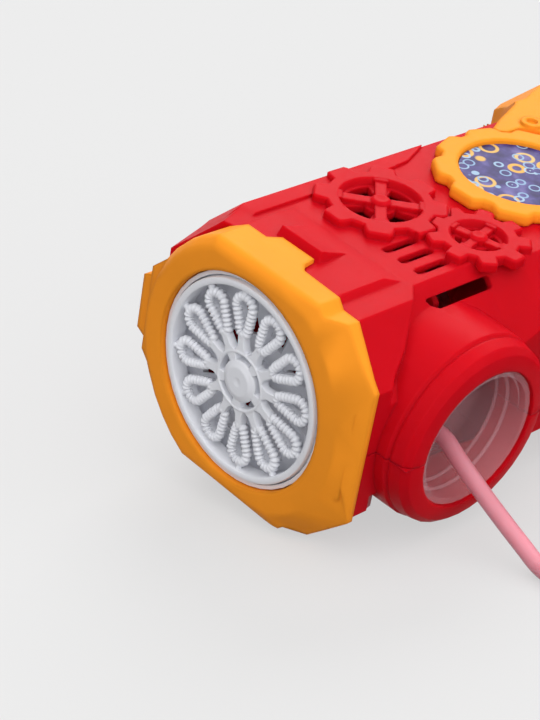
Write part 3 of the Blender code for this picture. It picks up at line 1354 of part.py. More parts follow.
def contacts():
    """A spring-steel plate at each end of the cells."""
    made = []
    reach = 0.55 * CELL_RADIUS
    spread = CELL_SPREAD + reach
    top = LOW_CELL_Z + CELL_RISE + reach
    low = LOW_CELL_Z - reach
    outline = [(GRIP_MID - spread, low), (GRIP_MID + spread, low), (GRIP_MID + spread, LOW_CELL_Z + reach),
               (GRIP_MID + reach, top), (GRIP_MID - reach, top), (GRIP_MID - spread, LOW_CELL_Z + reach)]
    for name, x in (("upper_contact", TRAY_START + TRAY_WALL + GAP),
                    ("lower_contact", TRAY_END - TRAY_WALL - GAP - CONTACT_THICK)):
        made.append(prism(name, outline, "X", x, x + CONTACT_THICK))
    return made


def battery_door():
    top = GRIP_HALF_THICK
    door = prism("battery_door", door_outline(0.0), "Z", top - WALL, top)
    middle = (TRAY_START + TRAY_END) / 2
    rib_pitch = 0.0040
    for n in range(5):
        x = middle + rib_pitch * (n - 2.5)
        rib = box("rib", (x, GRIP_MID - 0.009, top - 0.0005), (x + 0.0016, GRIP_MID + 0.009, top + 0.0006))
        add(door, rib)
    spot = door_screw_spot()
    add(door, rod("seat", SCREW_HEAD + 0.0012, "Z", spot, top - WALL - 0.0016, top - WALL + 0.0005, 16))
    cut(door, rod("hole", SCREW_PILOT, "Z", spot, 0.0, 0.1, 12))
    cut(door, rod("well", SCREW_HEAD + GAP, "Z", spot, top - 0.0018, 0.1, 16))
    return door


def door_screw_spot():
    return (TRAY_START + 0.0060, GRIP_MID + CELL_RADIUS + SCREW_CLEAR + SCREW_RADIUS)


def door_screw():
    seat = GRIP_HALF_THICK - 0.0018 + GAP
    length = 0.0070
    top = seat + 0.0014
    profile = ((0.0, seat - length), (SCREW_RADIUS, seat - length + 0.001), (SCREW_RADIUS, seat),
               (SCREW_HEAD, seat), (SCREW_HEAD, seat + 0.0008), (SCREW_HEAD - 0.0008, top), (0.0, top))
    return turned("door_screw", profile, "Z", door_screw_spot(), 12)


# Circuit board

def board_posts():
    return ((-0.011, BOARD_Y - 0.008), (0.011, BOARD_Y + 0.008))


def circuit_board():
    w, d = BOARD_SIZE
    top = BOARD_Z + BOARD_THICK
    board = box("circuit_board", (-w / 2, BOARD_Y - d / 2, BOARD_Z), (w / 2, BOARD_Y + d / 2, top))
    add(board, box("chip", (-0.004, BOARD_Y - 0.003, top - 0.0004), (0.004, BOARD_Y + 0.003, top + 0.0016)))
    add(board, box("plug", (-0.013, BOARD_Y + 0.004, top - 0.0004), (-0.006, BOARD_Y + 0.009, top + 0.0050)))
    add(board, rod("capacitor", 0.0025, "Z", (0.0095, BOARD_Y - 0.006), top - 0.0004, top + 0.0070, 14))
    return board


# Assembly

def paint(objects, finish):
    colour, roughness, metallic = FINISHES[finish]
    for obj in objects:
        material = bpy.data.materials.new(obj.name + "_" + finish)
        material.use_nodes = True
        shader = material.node_tree.nodes["Principled BSDF"]
        shader.inputs["Base Color"].default_value = (*colour, 1.0)
        shader.inputs["Roughness"].default_value = roughness
        shader.inputs["Metallic"].default_value = metallic
        obj.data.materials.clear()
        obj.data.materials.append(material)
        if obj.type == "MESH":
            obj.data.shade_smooth()
            obj.data.set_sharp_from_angle(angle=math.radians(32))


def pivot(name, location, parent):
    """An empty on a joint's axis."""
    empty = bpy.data.objects.new(name, None)
    empty.location = location
    empty.parent = parent
    bpy.context.collection.objects.link(empty)
    return empty


def hang(objects, parent, location=(0, 0, 0)):
    for obj in objects:
        obj.parent = parent
        obj.location = -Vector(location)


def set_down(root, leave_out):
    """Roll the toy onto its side and stand it on z = 0, centred under its box."""
    root.rotation_euler = (0.0, ROLL, 0.0)
    bpy.context.view_layer.update()
    points = []
    for obj in bpy.data.objects:
        if obj.type == "MESH" and obj.name not in leave_out:
            points += [obj.matrix_world @ v.co for v in obj.data.vertices]
    low = [min(p[i] for p in points) for i in range(3)]
    high = [max(p[i] for p in points) for i in range(3)]
    root.location = (-(low[0] + high[0]) / 2, -(low[1] + high[1]) / 2, -low[2])
    bpy.context.view_layer.update()


def build():
    clear_scene()
    root = pivot("lying_pose", (0, 0, 0), None)
    wand_axis = pivot("wand_axis", (0, 0, 0), root)
    motor_axis = pivot("motor_axis", (0, MOTOR_Y, 0), root)
    idler_axis = pivot("idler_axis", (IDLER_X, DRIVE_GEAR_Y, 0), root)
    trigger_rest = pivot("trigger_rest", (TRIGGER_X, GRIP_FRONT, 0), root)
    door_rest = pivot("door_rest", (GRIP_END, GRIP_MID, GRIP_HALF_THICK), root)

    left, right = shells()
    pictures = picture_rings()
    disc = wand_disc()
    shaft, wand_gear, rotor = wand_drive()
    idler_gear, idler_shaft = idler()
    motor_shaft, pinion, fan = motor_drive()
    trigger_piece = trigger()
    door = battery_door()
    door_fixing = door_screw()
    cells = batteries()
    plates = contacts()
    fixings = screws()
    cup = collecting_cup()
    bezel = front_bezel()
    cover = top_cover()
    collar = bottle_collar()
    nipple = hose_nipple()
    outer_hose = suction_hose()
    inner_hose = feed_hose()
    frame = gear_frame()
    pump_wall = pump_housing()
    can = motor()
    shroud = fan_shroud()
    spring = trigger_spring()
    switch = trigger_switch()
    tray = battery_tray()
    board = circuit_board()

    paint([left, right, trigger_piece, door, frame, shroud, fan], "red")
    paint([bezel, cover, pictures[0], pictures[2]], "yellow")
    paint([pictures[1], pictures[3]], "print")
    paint([disc, cup, wand_gear, idler_gear, rotor, pump_wall], "white")
    paint([collar, nipple], "clear")
    paint([outer_hose, inner_hose], "pink")
    paint([shaft, idler_shaft, motor_shaft, can, spring, *plates, *fixings, door_fixing], "steel")
    paint([pinion], "brass")
    paint([tray, switch, *cells], "black")
    paint([board], "green")

    hang([left, right, *pictures, *cells, *plates, *fixings, cup, bezel, cover, collar, nipple, outer_hose,
          inner_hose, frame, pump_wall, can, shroud, spring, switch, tray, board, idler_shaft], root)
    hang([disc, shaft, wand_gear, rotor], wand_axis)
    hang([motor_shaft, pinion, fan], motor_axis, motor_axis.location)
    hang([idler_gear], idler_axis, idler_axis.location)
    hang([trigger_piece], trigger_rest, trigger_rest.location)
    hang([door, door_fixing], door_rest, door_rest.location)
    set_down(root, ("suction_hose",))


build()
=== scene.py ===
"""Looks of the bubble blower: materials, the fine wand disc, the hose, the light and the camera.

Lengths are in metres. The toy's own axes are used for placing: the muzzle faces -Y, the grip
and the bottle socket point to +X and the left side is +Z. TOY takes them to the row frame.
"""
import json
import math

import bmesh
import bpy
from mathutils import Matrix, Vector


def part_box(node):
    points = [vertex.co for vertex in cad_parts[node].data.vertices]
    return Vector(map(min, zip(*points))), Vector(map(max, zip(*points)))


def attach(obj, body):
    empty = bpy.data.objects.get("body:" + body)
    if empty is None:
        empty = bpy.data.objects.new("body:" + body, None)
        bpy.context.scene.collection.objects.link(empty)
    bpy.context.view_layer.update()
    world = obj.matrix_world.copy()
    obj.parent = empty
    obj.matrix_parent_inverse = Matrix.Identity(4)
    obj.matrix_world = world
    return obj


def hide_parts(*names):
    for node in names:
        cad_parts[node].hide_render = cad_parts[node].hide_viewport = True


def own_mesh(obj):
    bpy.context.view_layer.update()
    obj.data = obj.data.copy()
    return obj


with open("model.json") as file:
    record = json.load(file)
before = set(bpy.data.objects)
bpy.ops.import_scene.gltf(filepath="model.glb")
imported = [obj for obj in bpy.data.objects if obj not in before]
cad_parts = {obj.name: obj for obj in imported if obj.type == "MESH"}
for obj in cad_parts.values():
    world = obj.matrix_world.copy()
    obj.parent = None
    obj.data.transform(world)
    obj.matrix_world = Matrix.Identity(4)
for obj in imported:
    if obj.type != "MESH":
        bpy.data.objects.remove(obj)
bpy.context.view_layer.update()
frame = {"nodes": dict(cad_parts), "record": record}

# Where the toy lies, read from its joints
JOINTS = {joint["name"]: joint for joint in frame["record"]["behaviour"]["joints"]}
ORIGIN = Vector(JOINTS["wand_spin"]["pos_m"])
LEFT = Vector(JOINTS["battery_door_lift"]["axis"])
ROLL = math.atan2(LEFT.x, LEFT.z)
TOY = Matrix.Translation(ORIGIN) @ Matrix.Rotation(ROLL, 4, "Y")

# Photograph's camera
CAMERA_SPOT = (0.32730, -0.35370, 0.32902)
CAMERA_AZIMUTH = math.radians(46.875)
CAMERA_ELEVATION = math.radians(24.819)
CAMERA_LENS = 106.05
SENSOR = 36.0

# Light
FLOOR_COLOUR = (0.22, 0.22, 0.22)
FLOOR_HALF = 3.0
FLOOR_GLOW = 0.55
BACKDROP_LEVEL = 0.85
SKY_LEVEL = 0.27
# strength, angular width and tilt about X and Y of each lamp
SIDE_LAMP = (3.2, math.radians(120), math.radians(16), math.radians(42))
BACK_LAMP = (1.6, math.radians(36), math.radians(-37), math.radians(-32))

# Suction hose, the route of the solid in the toy's axes
HOSE_ROUTE = ((0.0400, 0.0400, -0.0066), (0.0440, 0.0400, -0.0067), (0.0500, 0.0395, -0.0093),
              (0.0600, 0.0389, -0.0132), (0.0700, 0.0383, -0.0167), (0.0790, 0.0378, -0.0196),
              (0.0867, 0.0372, -0.0216), (0.0950, 0.0362, -0.0202), (0.1060, 0.0338, -0.0178),
              (0.1180, 0.0295, -0.0151), (0.1300, 0.0235, -0.0124))
HOSE_RADIUS = 0.0025
HOSE_BORE = 0.0016
HOSE_STEP = 0.0025
HOSE_SIDES = 24
ROUTE_STEPS = 20

# Trigger's spring
SPRING_COILS = 4
SPRING_RADIUS = 0.0027
SPRING_WIRE = 0.00035
SPRING_STEPS = 24
SPRING_SIDES = 8

# Wand disc, as in the solid but with every rib
DISC_RADIUS = 0.030
DISC_DEPTH = 0.0050
RIM_WALL = 0.0022
RIM_ROUND = 0.0006
RIM_SEGMENTS = 96
HUB_RADIUS = 0.0094
HUB_FRONT = 0.0004
HUB_DEPTH = 0.0034
HUB_ROUND = 0.0004
HUB_SEGMENTS = 72
BOSS_RADIUS = 0.0052
BOSS_RISE = 0.0002
BOSS_SEGMENTS = 60
DIMPLE_RADIUS = 0.0010
DIMPLE_DEPTH = 0.0002
HUB_SLOTS = 5
SLOT_INNER = BOSS_RADIUS + 0.0011
SLOT_OUTER = HUB_RADIUS - 0.0012
SLOT_HALF = 0.42
BRIDGE_INSET = 0.0002
BRIDGE_STEPS = 5
LOOP_COUNT = 12
LOOP_WIRE = 0.0012
LOOP_WIDTH = 0.0064
LOOP_NECK = 0.0031
LOOP_INNER = HUB_RADIUS + 0.0048
LOOP_OUTER = DISC_RADIUS - RIM_WALL - LOOP_WIRE - 0.0010
LOOP_TURN = math.radians(9)
LOOP_DEPTH = 0.0018
LOOP_SIDES = 12
RIB_COUNT = 22
RIB_RISE = 0.0003
RIB_STEPS = 6
SPOKE_WIDTH = 0.0028
SPOKE_DEPTH = 0.0024
SPOKE_ROUND = 0.0004
# distance from the middle, and share of the spoke's width there
SPOKE_FORM = ((HUB_RADIUS - 0.0008, 1.7), (HUB_RADIUS + 0.0010, 1.05), (LOOP_INNER + 0.0006, 0.85))
LOOP_WALL = (0.0004, 0.0011)
LOOP_WALL_DEPTH = (0.0012, 0.0044)
STUB_RADIUS = 0.0010
STUB_ENDS = (LOOP_OUTER - 0.0004, DISC_RADIUS - RIM_WALL + 0.0006)

# Collar in the bottle socket
SOCKET_Y = 0.0400
COLLAR_INNER = 0.0194
THREAD_RISE = 0.0006
THREAD_PITCH = 0.0042
THREAD_TURNS = 2.2
THREAD_END = 0.0515
THREAD_SINK = 0.0002
THREAD_STEPS = 40
THREAD_FADE = 6
THREAD_TIP = 0.15
THREAD_SIDES = 8

# Lips in the parting line, as corners in (x, y)
SEAM_LIPS = (((0.0300, 0.0115), (0.0546, 0.0183)), ((0.0300, 0.0617), (0.0546, 0.0684)),
             ((0.0420, 0.0070), (0.0437, 0.0118)))
LIP_HALF = 0.00012

# Moulding
EDGE_ROUND = 0.0009
SOFT_EDGE = 0.0020
SHARP_FOLD = math.radians(28)
PIECE_FOLD = math.radians(38)
JOIN_DISTANCE = 0.000002
FLOW_MARKS = 55.0
SPECKLE = 700.0
FINE_GRAIN = 1900.0
GRAIN_DEPTH = 0.0002
BEVEL_SAMPLES = 6
PLASTIC_IOR = 1.49
SUBSURFACE_WEIGHT = 0.5

# Rounding of the bezel's front: which folds, how far back, outside which radius, between which sides
ROUNDED_FOLD = math.radians(18)
ROUNDED_DEPTH = 0.0032
ROUNDED_OUTSIDE = 0.0345
ROUNDED_SIDES = (-0.0345, 0.0215)
ROUNDED_WIDTH = 0.0011
ROUNDED_STEPS = 3
FLAT_FOLD = math.radians(1.5)
SLIVER = 0.00003


# Meshes

def mesh_piece(name, bm, body, material):
    """Make a shown piece from a bmesh in the toy's axes, riding on a body."""
    bmesh.ops.recalc_face_normals(bm, faces=bm.faces)
    bm.transform(TOY)
    mesh = bpy.data.meshes.new(name)
    bm.to_mesh(mesh)
    bm.free()
    piece = bpy.data.objects.new(name, mesh)
    bpy.context.scene.collection.objects.link(piece)
    mesh.materials.append(material)
    mesh.shade_smooth()
    mesh.set_sharp_from_angle(angle=PIECE_FOLD)
    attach(piece, body)
    return piece


def skin(bm, rings, closed):
    """Join rings of equal count with faces, and cap the ends of an open row of rings."""
    count = len(rings)
    for k in range(count if closed else count - 1):
        here = rings[k]
        after = rings[(k + 1) % count]
        for i in range(len(here)):
            j = (i + 1) % len(here)
            bm.faces.new((here[i], here[j], after[j], after[i]))
    if not closed:
        bm.faces.new(rings[0])
        bm.faces.new(rings[-1])


def add_turned(bm, profile, segments):
    """Turn a closed profile of (radius, y) points about the toy's Y axis."""
    rings = []
    for k in range(segments):
        turn = 2 * math.pi * k / segments
        rings.append([bm.verts.new((r * math.cos(turn), y, r * math.sin(turn))) for r, y in profile])
    skin(bm, rings, True)


def add_solid(bm, outline, low, high, round_off):
    """A plate across Y from an (x, z) outline, with a small bevel on its front edge."""
    middle = Vector((sum(x for x, z in outline), sum(z for x, z in outline))) / len(outline)
    rings = []
    for y, shrink in ((low, round_off), (low + round_off, 0.0), (high, 0.0)):
        ring = []
        for x, z in outline:
            towards = (middle - Vector((x, z))).normalized() * shrink
            ring.append(bm.verts.new((x + towards.x, y, z + towards.y)))
        rings.append(ring)
    skin(bm, rings, False)


def add_tube(bm, path, radii, sides, closed, up=Vector((0, 1, 0))):
    """A tube along a path, with its own radius at each point."""
    rings = []
    count = len(path)
    for k, point in enumerate(path):
        if closed:
            along = (path[(k + 1) % count] - path[k - 1]).normalized()
        else:
            along = (path[min(k + 1, count - 1)] - path[max(k - 1, 0)]).normalized()
        across = along.cross(up).normalized()
        over = across.cross(along)
        rings.append([bm.verts.new(point + radii[k] * (across * math.cos(2 * math.pi * s / sides)
                                                       + over * math.sin(2 * math.pi * s / sides)))
                      for s in range(sides)])
    return rings


def arc(inner, outer, start, end, steps):
    """Outline of part of a flat ring in (x, z)."""
    points = []
    for radius, first, last in ((inner, end, start), (outer, start, end)):
        for k in range(steps + 1):
            turn = first + (last - first) * k / steps
            points.append((radius * math.cos(turn), radius * math.sin(turn)))
    return points


# Materials

def noise(nodes, links, place, scale, detail):
    """A noise texture in the object's own place."""
    texture = nodes.new("ShaderNodeTexNoise")
    texture.inputs["Scale"].default_value = scale
    texture.inputs["Detail"].default_value = detail
    links.new(place.outputs["Object"], texture.inputs["Vector"])
    return texture


def spread(nodes, links, source, low, high):
    """Map a texture's 0.3 to 0.7 onto low to high."""
    span = nodes.new("ShaderNodeMapRange")
    span.inputs["From Min"].default_value = 0.3
    span.inputs["From Max"].default_value = 0.7
    span.inputs["To Min"].default_value = low
    span.inputs["To Max"].default_value = high
    links.new(source, span.inputs["Value"])
    return span.outputs["Result"]


def colour_ramp(nodes, links, source, stops):
    """Colours at given positions of a value."""
    ramp = nodes.new("ShaderNodeValToRGB")
    while len(ramp.color_ramp.elements) < len(stops):
        ramp.color_ramp.elements.new(0.5)
    for element, (position, colour) in zip(ramp.color_ramp.elements, stops):
        element.position = position
        element.color = (*colour, 1.0)
    links.new(source, ramp.inputs["Fac"])
    return ramp.outputs["Color"]


def tinted(colour, factor):
    """A lighter or darker shade of a colour."""
    return tuple(min(1.0, c * factor) for c in colour)


def plastic(name, colour, roughness, grain=0.03, variation=0.04, edge=EDGE_ROUND, flow=FLOW_MARKS,
            shine=0.15):
    """Moulded plastic: faint flow marks in the colour, fine grain, and softened edges."""
    material = bpy.data.materials.new(name)
    material.use_nodes = True
    nodes = material.node_tree.nodes
    links = material.node_tree.links
    shader = nodes["Principled BSDF"]
    place = nodes.new("ShaderNodeTexCoord")
    marks = noise(nodes, links, place, flow, 4.0)
    shades = ((0.30, tinted(colour, 1 - variation)), (0.70, tinted(colour, 1 + variation)))
    links.new(colour_ramp(nodes, links, marks.outputs["Fac"], shades), shader.inputs["Base Color"])
    speckle = noise(nodes, links, place, SPECKLE, 3.0)
    links.new(spread(nodes, links, speckle.outputs["Fac"], roughness - 0.05, roughness + 0.05),
              shader.inputs["Roughness"])
    bump = nodes.new("ShaderNodeBump")
    bump.inputs["Strength"].default_value = grain
    bump.inputs["Distance"].default_value = GRAIN_DEPTH
    fine = noise(nodes, links, place, FINE_GRAIN, 2.0)
    links.new(fine.outputs["Fac"], bump.inputs["Height"])
    if edge:
        bevel = nodes.new("ShaderNodeBevel")
        bevel.samples = BEVEL_SAMPLES
        bevel.inputs["Radius"].default_value = edge
        links.new(bevel.outputs["Normal"], bump.inputs["Normal"])
    links.new(bump.outputs["Normal"], shader.inputs["Normal"])
    shader.inputs["IOR"].default_value = PLASTIC_IOR
    shader.inputs["Specular IOR Level"].default_value = shine
    return material


def metal(name, colour, roughness):
    """Drawn or turned metal with a fine mottle."""
    material = plastic(name, colour, roughness, grain=0.05, variation=0.10, edge=0.0, flow=420.0, shine=0.5)
    material.node_tree.nodes["Principled BSDF"].inputs["Metallic"].default_value = 1.0
    return material


def cloudy(name, colour, roughness, cover):
    """Cloudy clear plastic, which lets part of what is behind it through."""
    material = plastic(name, colour, roughness, grain=0.02, variation=0.04, edge=0.0, shine=0.4)
    material.node_tree.nodes["Principled BSDF"].inputs["Alpha"].default_value = cover
    return material


def spread_light(material, reach, share):
    """Let light spread under the skin: how far red light reaches, and the other colours' share of that."""
    shader = material.node_tree.nodes["Principled BSDF"]
    shader.inputs["Subsurface Weight"].default_value = SUBSURFACE_WEIGHT
    shader.inputs["Subsurface Radius"].default_value = (1.0, share, share)
    shader.inputs["Subsurface Scale"].default_value = reach
    return material


def bubble_print(name):
    """A generic print: rings of bubbles and small dots on an indigo ground."""
    material = bpy.data.materials.new(name)
    material.use_nodes = True
    nodes = material.node_tree.nodes
    links = material.node_tree.links
    shader = nodes["Principled BSDF"]
    place = nodes.new("ShaderNodeTexCoord")
    clouds = noise(nodes, links, place, 140.0, 3.0)
    indigo = ((0.32, (0.020, 0.013, 0.07)), (0.52, (0.06, 0.045, 0.19)), (0.70, (0.15, 0.13, 0.34)))
    ground = colour_ramp(nodes, links, clouds.outputs["Fac"], indigo)
    paints = (((0.70, 0.36, 0.05), (0.62, 0.44, 0.16)), ((0.16, 0.28, 0.50), (0.36, 0.50, 0.62)))
    for number, (cells, (first, second)) in enumerate(zip((105.0, 190.0), paints)):
        bubbles = nodes.new("ShaderNodeTexVoronoi")
        bubbles.inputs["Scale"].default_value = cells
        bubbles.inputs["Randomness"].default_value = 0.85
        shift = nodes.new("ShaderNodeMapping")
        shift.inputs["Location"].default_value = (0.013 * number, 0.007 * number, 0.003 * number)
        links.new(place.outputs["Object"], shift.inputs["Vector"])
        links.new(shift.outputs["Vector"], bubbles.inputs["Vector"])
        rings = colour_ramp(nodes, links, bubbles.outputs["Distance"],
                            ((0.00, (1, 1, 1)), (0.05, (1, 1, 1)), (0.08, (0, 0, 0)), (0.26, (0, 0, 0)),
                             (0.29, (1, 1, 1)), (0.36, (1, 1, 1)), (0.39, (0, 0, 0))))
        tint = nodes.new("ShaderNodeMix")
        tint.data_type = "RGBA"
        links.new(bubbles.outputs["Color"], tint.inputs["Factor"])
        tint.inputs["A"].default_value = (*first, 1.0)
        tint.inputs["B"].default_value = (*second, 1.0)
        over = nodes.new("ShaderNodeMix")
        over.data_type = "RGBA"
        links.new(rings, over.inputs["Factor"])
        links.new(ground, over.inputs["A"])
        links.new(tint.outputs["Result"], over.inputs["B"])
        ground = over.outputs["Result"]
    links.new(ground, shader.inputs["Base Color"])
    shader.inputs["Roughness"].default_value = 0.35
    shader.inputs["Specular IOR Level"].default_value = 0.06
    return material


RED = spread_light(plastic("red_moulding", (0.54, 0.0035, 0.010), 0.40, shine=0.025), 0.006, 0.15)
YELLOW = plastic("yellow_moulding", (0.96, 0.315, 0.022), 0.42, edge=SOFT_EDGE, shine=0.03)
WHITE = plastic("white_moulding", (0.82, 0.83, 0.88), 0.42, edge=0.0003)
CLEAR = cloudy("clear_moulding", (0.95, 0.56, 0.61), 0.30, 0.20)
PINK = spread_light(plastic("pink_tube", (0.75, 0.27, 0.33), 0.34, grain=0.02, variation=0.05, edge=0.0,
                            shine=0.4), 0.002, 0.5)
PRINT = bubble_print("bubble_print")
STEEL = metal("bright_steel", (0.58, 0.58, 0.60), 0.32)
BRASS = metal("turned_brass", (0.72, 0.50, 0.22), 0.30)
BLACK = plastic("black_moulding", (0.025, 0.025, 0.027), 0.52)
CELL = plastic("cell_sleeve", (0.05, 0.05, 0.055), 0.35, edge=0.0002)
BOARD = plastic("circuit_green", (0.02, 0.20, 0.07), 0.45, edge=0.0)

NODE_MATERIALS = {"red_plastic": RED, "yellow_plastic": YELLOW, "white_plastic": WHITE,
                  "clear_plastic": CLEAR, "pink_hose": PINK, "printed_film": PRINT, "steel": STEEL,
                  "brass": BRASS, "black_plastic": BLACK, "cell_can": CELL, "board": BOARD}


def paint_nodes():
    """Give each solid the material of its slot."""
    for entry in frame["record"]["subparts"]:
        node = frame["nodes"][entry["node"]]
        node.data.materials.clear()
        node.data.materials.append(NODE_MATERIALS[entry["material_slot"]])


def geometry_group(name):
    """An empty node group with its start and end nodes."""
    group = bpy.data.node_groups.new(name, "GeometryNodeTree")
    for side in ("INPUT", "OUTPUT"):
        group.interface.new_socket("Geometry", in_out=side, socket_type="NodeSocketGeometry")
    return group, group.nodes.new("NodeGroupInput"), group.nodes.new("NodeGroupOutput")


def compare(nodes, links, operation, source, limit):
    """A test of a value against a limit."""
    test = nodes.new("FunctionNodeCompare")
    test.operation = operation
    test.inputs["B"].default_value = limit
    links.new(source, test.inputs["A"])
    return test.outputs["Result"]


def soft_facets():
    """A node group that joins a solid's facets and shades all but its sharp folds smoothly."""
    group, start, end = geometry_group("soft_facets")
    nodes = group.nodes
    links = group.links
    join = nodes.new("GeometryNodeMergeByDistance")
    join.inputs["Distance"].default_value = JOIN_DISTANCE
    smooth = nodes.new("GeometryNodeSetShadeSmooth")
    sharpen = nodes.new("GeometryNodeSetShadeSmooth")
    sharpen.domain = "EDGE"
    sharpen.inputs["Shade Smooth"].default_value = False
    fold = nodes.new("GeometryNodeInputMeshEdgeAngle")
    sharp = compare(nodes, links, "GREATER_THAN", fold.outputs["Unsigned Angle"], SHARP_FOLD)
    links.new(sharp, sharpen.inputs["Selection"])
    chain = (start, join, smooth, sharpen, end)
    for before, after in zip(chain, chain[1:]):
        links.new(before.outputs["Geometry"], after.inputs["Geometry"])
    return group


def front_folds():
    """A node group that marks the folds on the front of the bezel for rounding."""
    group, start, end = geometry_group("front_folds")
    nodes = group.nodes
    links = group.links
    place = nodes.new("GeometryNodeInputPosition")
    offset = nodes.new("ShaderNodeVectorMath")
    offset.operation = "SUBTRACT"
    offset.inputs[1].default_value = ORIGIN
    links.new(place.outputs["Position"], offset.inputs[0])
    fold = nodes.new("GeometryNodeInputMeshEdgeAngle")
    tests = [compare(nodes, links, "GREATER_THAN", fold.outputs["Unsigned Angle"], ROUNDED_FOLD)]
    reach = nodes.new("ShaderNodeVectorMath")
    reach.operation = "LENGTH"
    links.new(offset.outputs["Vector"], reach.inputs[0])
    tests.append(compare(nodes, links, "GREATER_THAN", reach.outputs["Value"], ROUNDED_OUTSIDE))
    across = TOY.to_3x3() @ Vector((1, 0, 0))
    for axis, operation, limit in ((Vector((0, 1, 0)), "LESS_THAN", ROUNDED_DEPTH),
                                   (across, "GREATER_THAN", ROUNDED_SIDES[0]),
                                   (across, "LESS_THAN", ROUNDED_SIDES[1])):
        along = nodes.new("ShaderNodeVectorMath")
        along.operation = "DOT_PRODUCT"
        along.inputs[1].default_value = axis
        links.new(offset.outputs["Vector"], along.inputs[0])
        tests.append(compare(nodes, links, operation, along.outputs["Value"], limit))
    chosen = tests[0]
    for test in tests[1:]:
        both = nodes.new("FunctionNodeBooleanMath")
        links.new(chosen, both.inputs[0])
        links.new(test, both.inputs[1])
        chosen = both.outputs["Boolean"]
    mark = nodes.new("GeometryNodeStoreNamedAttribute")
    mark.domain = "EDGE"
    mark.inputs["Name"].default_value = "bevel_weight_edge"
    links.new(start.outputs["Geometry"], mark.inputs["Geometry"])
    links.new(chosen, mark.inputs["Value"])
    links.new(mark.outputs["Geometry"], end.inputs["Geometry"])
    return group


def round_front(node):
    """Join the bezel's flat faces and round the folds on its front."""
    flats = node.modifiers.new("flat_faces", "DECIMATE")
    flats.decimate_type = "DISSOLVE"
    flats.angle_limit = FLAT_FOLD
    node.modifiers.new("front_folds", "NODES").node_group = front_folds()
    rounding = node.modifiers.new("round_front", "BEVEL")
    rounding.width = ROUNDED_WIDTH
    rounding.segments = ROUNDED_STEPS
    rounding.limit_method = "WEIGHT"
    rounding.use_clamp_overlap = False
    node.modifiers.new("join_slivers", "WELD").merge_threshold = SLIVER


def smooth_nodes():
    """Shade every solid smoothly, and round the front of the bezel."""
    group = soft_facets()
    for name, node in frame["nodes"].items():
        if node.type == "MESH":
            node.modifiers.new("soft_facets", "NODES").node_group = group
            if name == "front_bezel":
                round_front(node)
            even = node.modifiers.new("even_faces", "WEIGHTED_NORMAL")
            even.keep_sharp = True


# Wand disc

def loop_path(turn, count):
    """Middle line of one loop: a small arc and a large one joined by straight sides, evenly spaced."""
    wide = LOOP_WIDTH / 2
    neck = LOOP_NECK / 2
    far = LOOP_OUTER - wide
    near = LOOP_INNER + neck
    lean = math.asin((wide - neck) / (far - near))
    open_half = math.pi / 2 + lean
    side = math.sqrt((far - near) ** 2 - (wide - neck) ** 2)
    lengths = (2 * wide * open_half, side, 2 * neck * (math.pi - open_half), side)
    far_side = (far - wide * math.sin(lean), wide * math.cos(lean))
    near_side = (near - neck * math.sin(lean), neck * math.cos(lean))
    points = []
    for k in range(count):
        run = sum(lengths) * k / count
        if run < lengths[0]:
            angle = run / wide - open_half
            along, across = far + wide * math.cos(angle), wide * math.sin(angle)
        elif run < lengths[0] + side:
            share = (run - lengths[0]) / side
            along = far_side[0] + share * (near_side[0] - far_side[0])
            across = far_side[1] + share * (near_side[1] - far_side[1])
        elif run < lengths[0] + side + lengths[2]:
            angle = open_half + (run - lengths[0] - side) / neck
            along, across = near + neck * math.cos(angle), neck * math.sin(angle)
        else:
            share = (run - lengths[0] - side - lengths[2]) / side
            along = near_side[0] + share * (far_side[0] - near_side[0])
            across = -near_side[1] - share * (far_side[1] - near_side[1])
        points.append(Vector((along * math.cos(turn) - across * math.sin(turn), LOOP_DEPTH,
                              along * math.sin(turn) + across * math.cos(turn))))
    return points


def add_loop_wall(bm, path):
    """The smooth wall inside a loop, which its ribs stand on."""
    middle = sum(path, Vector()) / len(path)
    rings = []
    for k, point in enumerate(path):
        along = (path[(k + 1) % len(path)] - path[k - 1]).normalized()
        inward = along.cross(Vector((0, 1, 0)))
        if inward.dot(middle - point) < 0:
            inward = -inward
        outer, inner = (point + inward * offset for offset in LOOP_WALL)
        front, back = LOOP_WALL_DEPTH
        spots = ((outer, front), (inner, front), (inner, back), (outer, back))
        rings.append([bm.verts.new((corner.x, depth, corner.z)) for corner, depth in spots])
    skin(bm, rings, True)


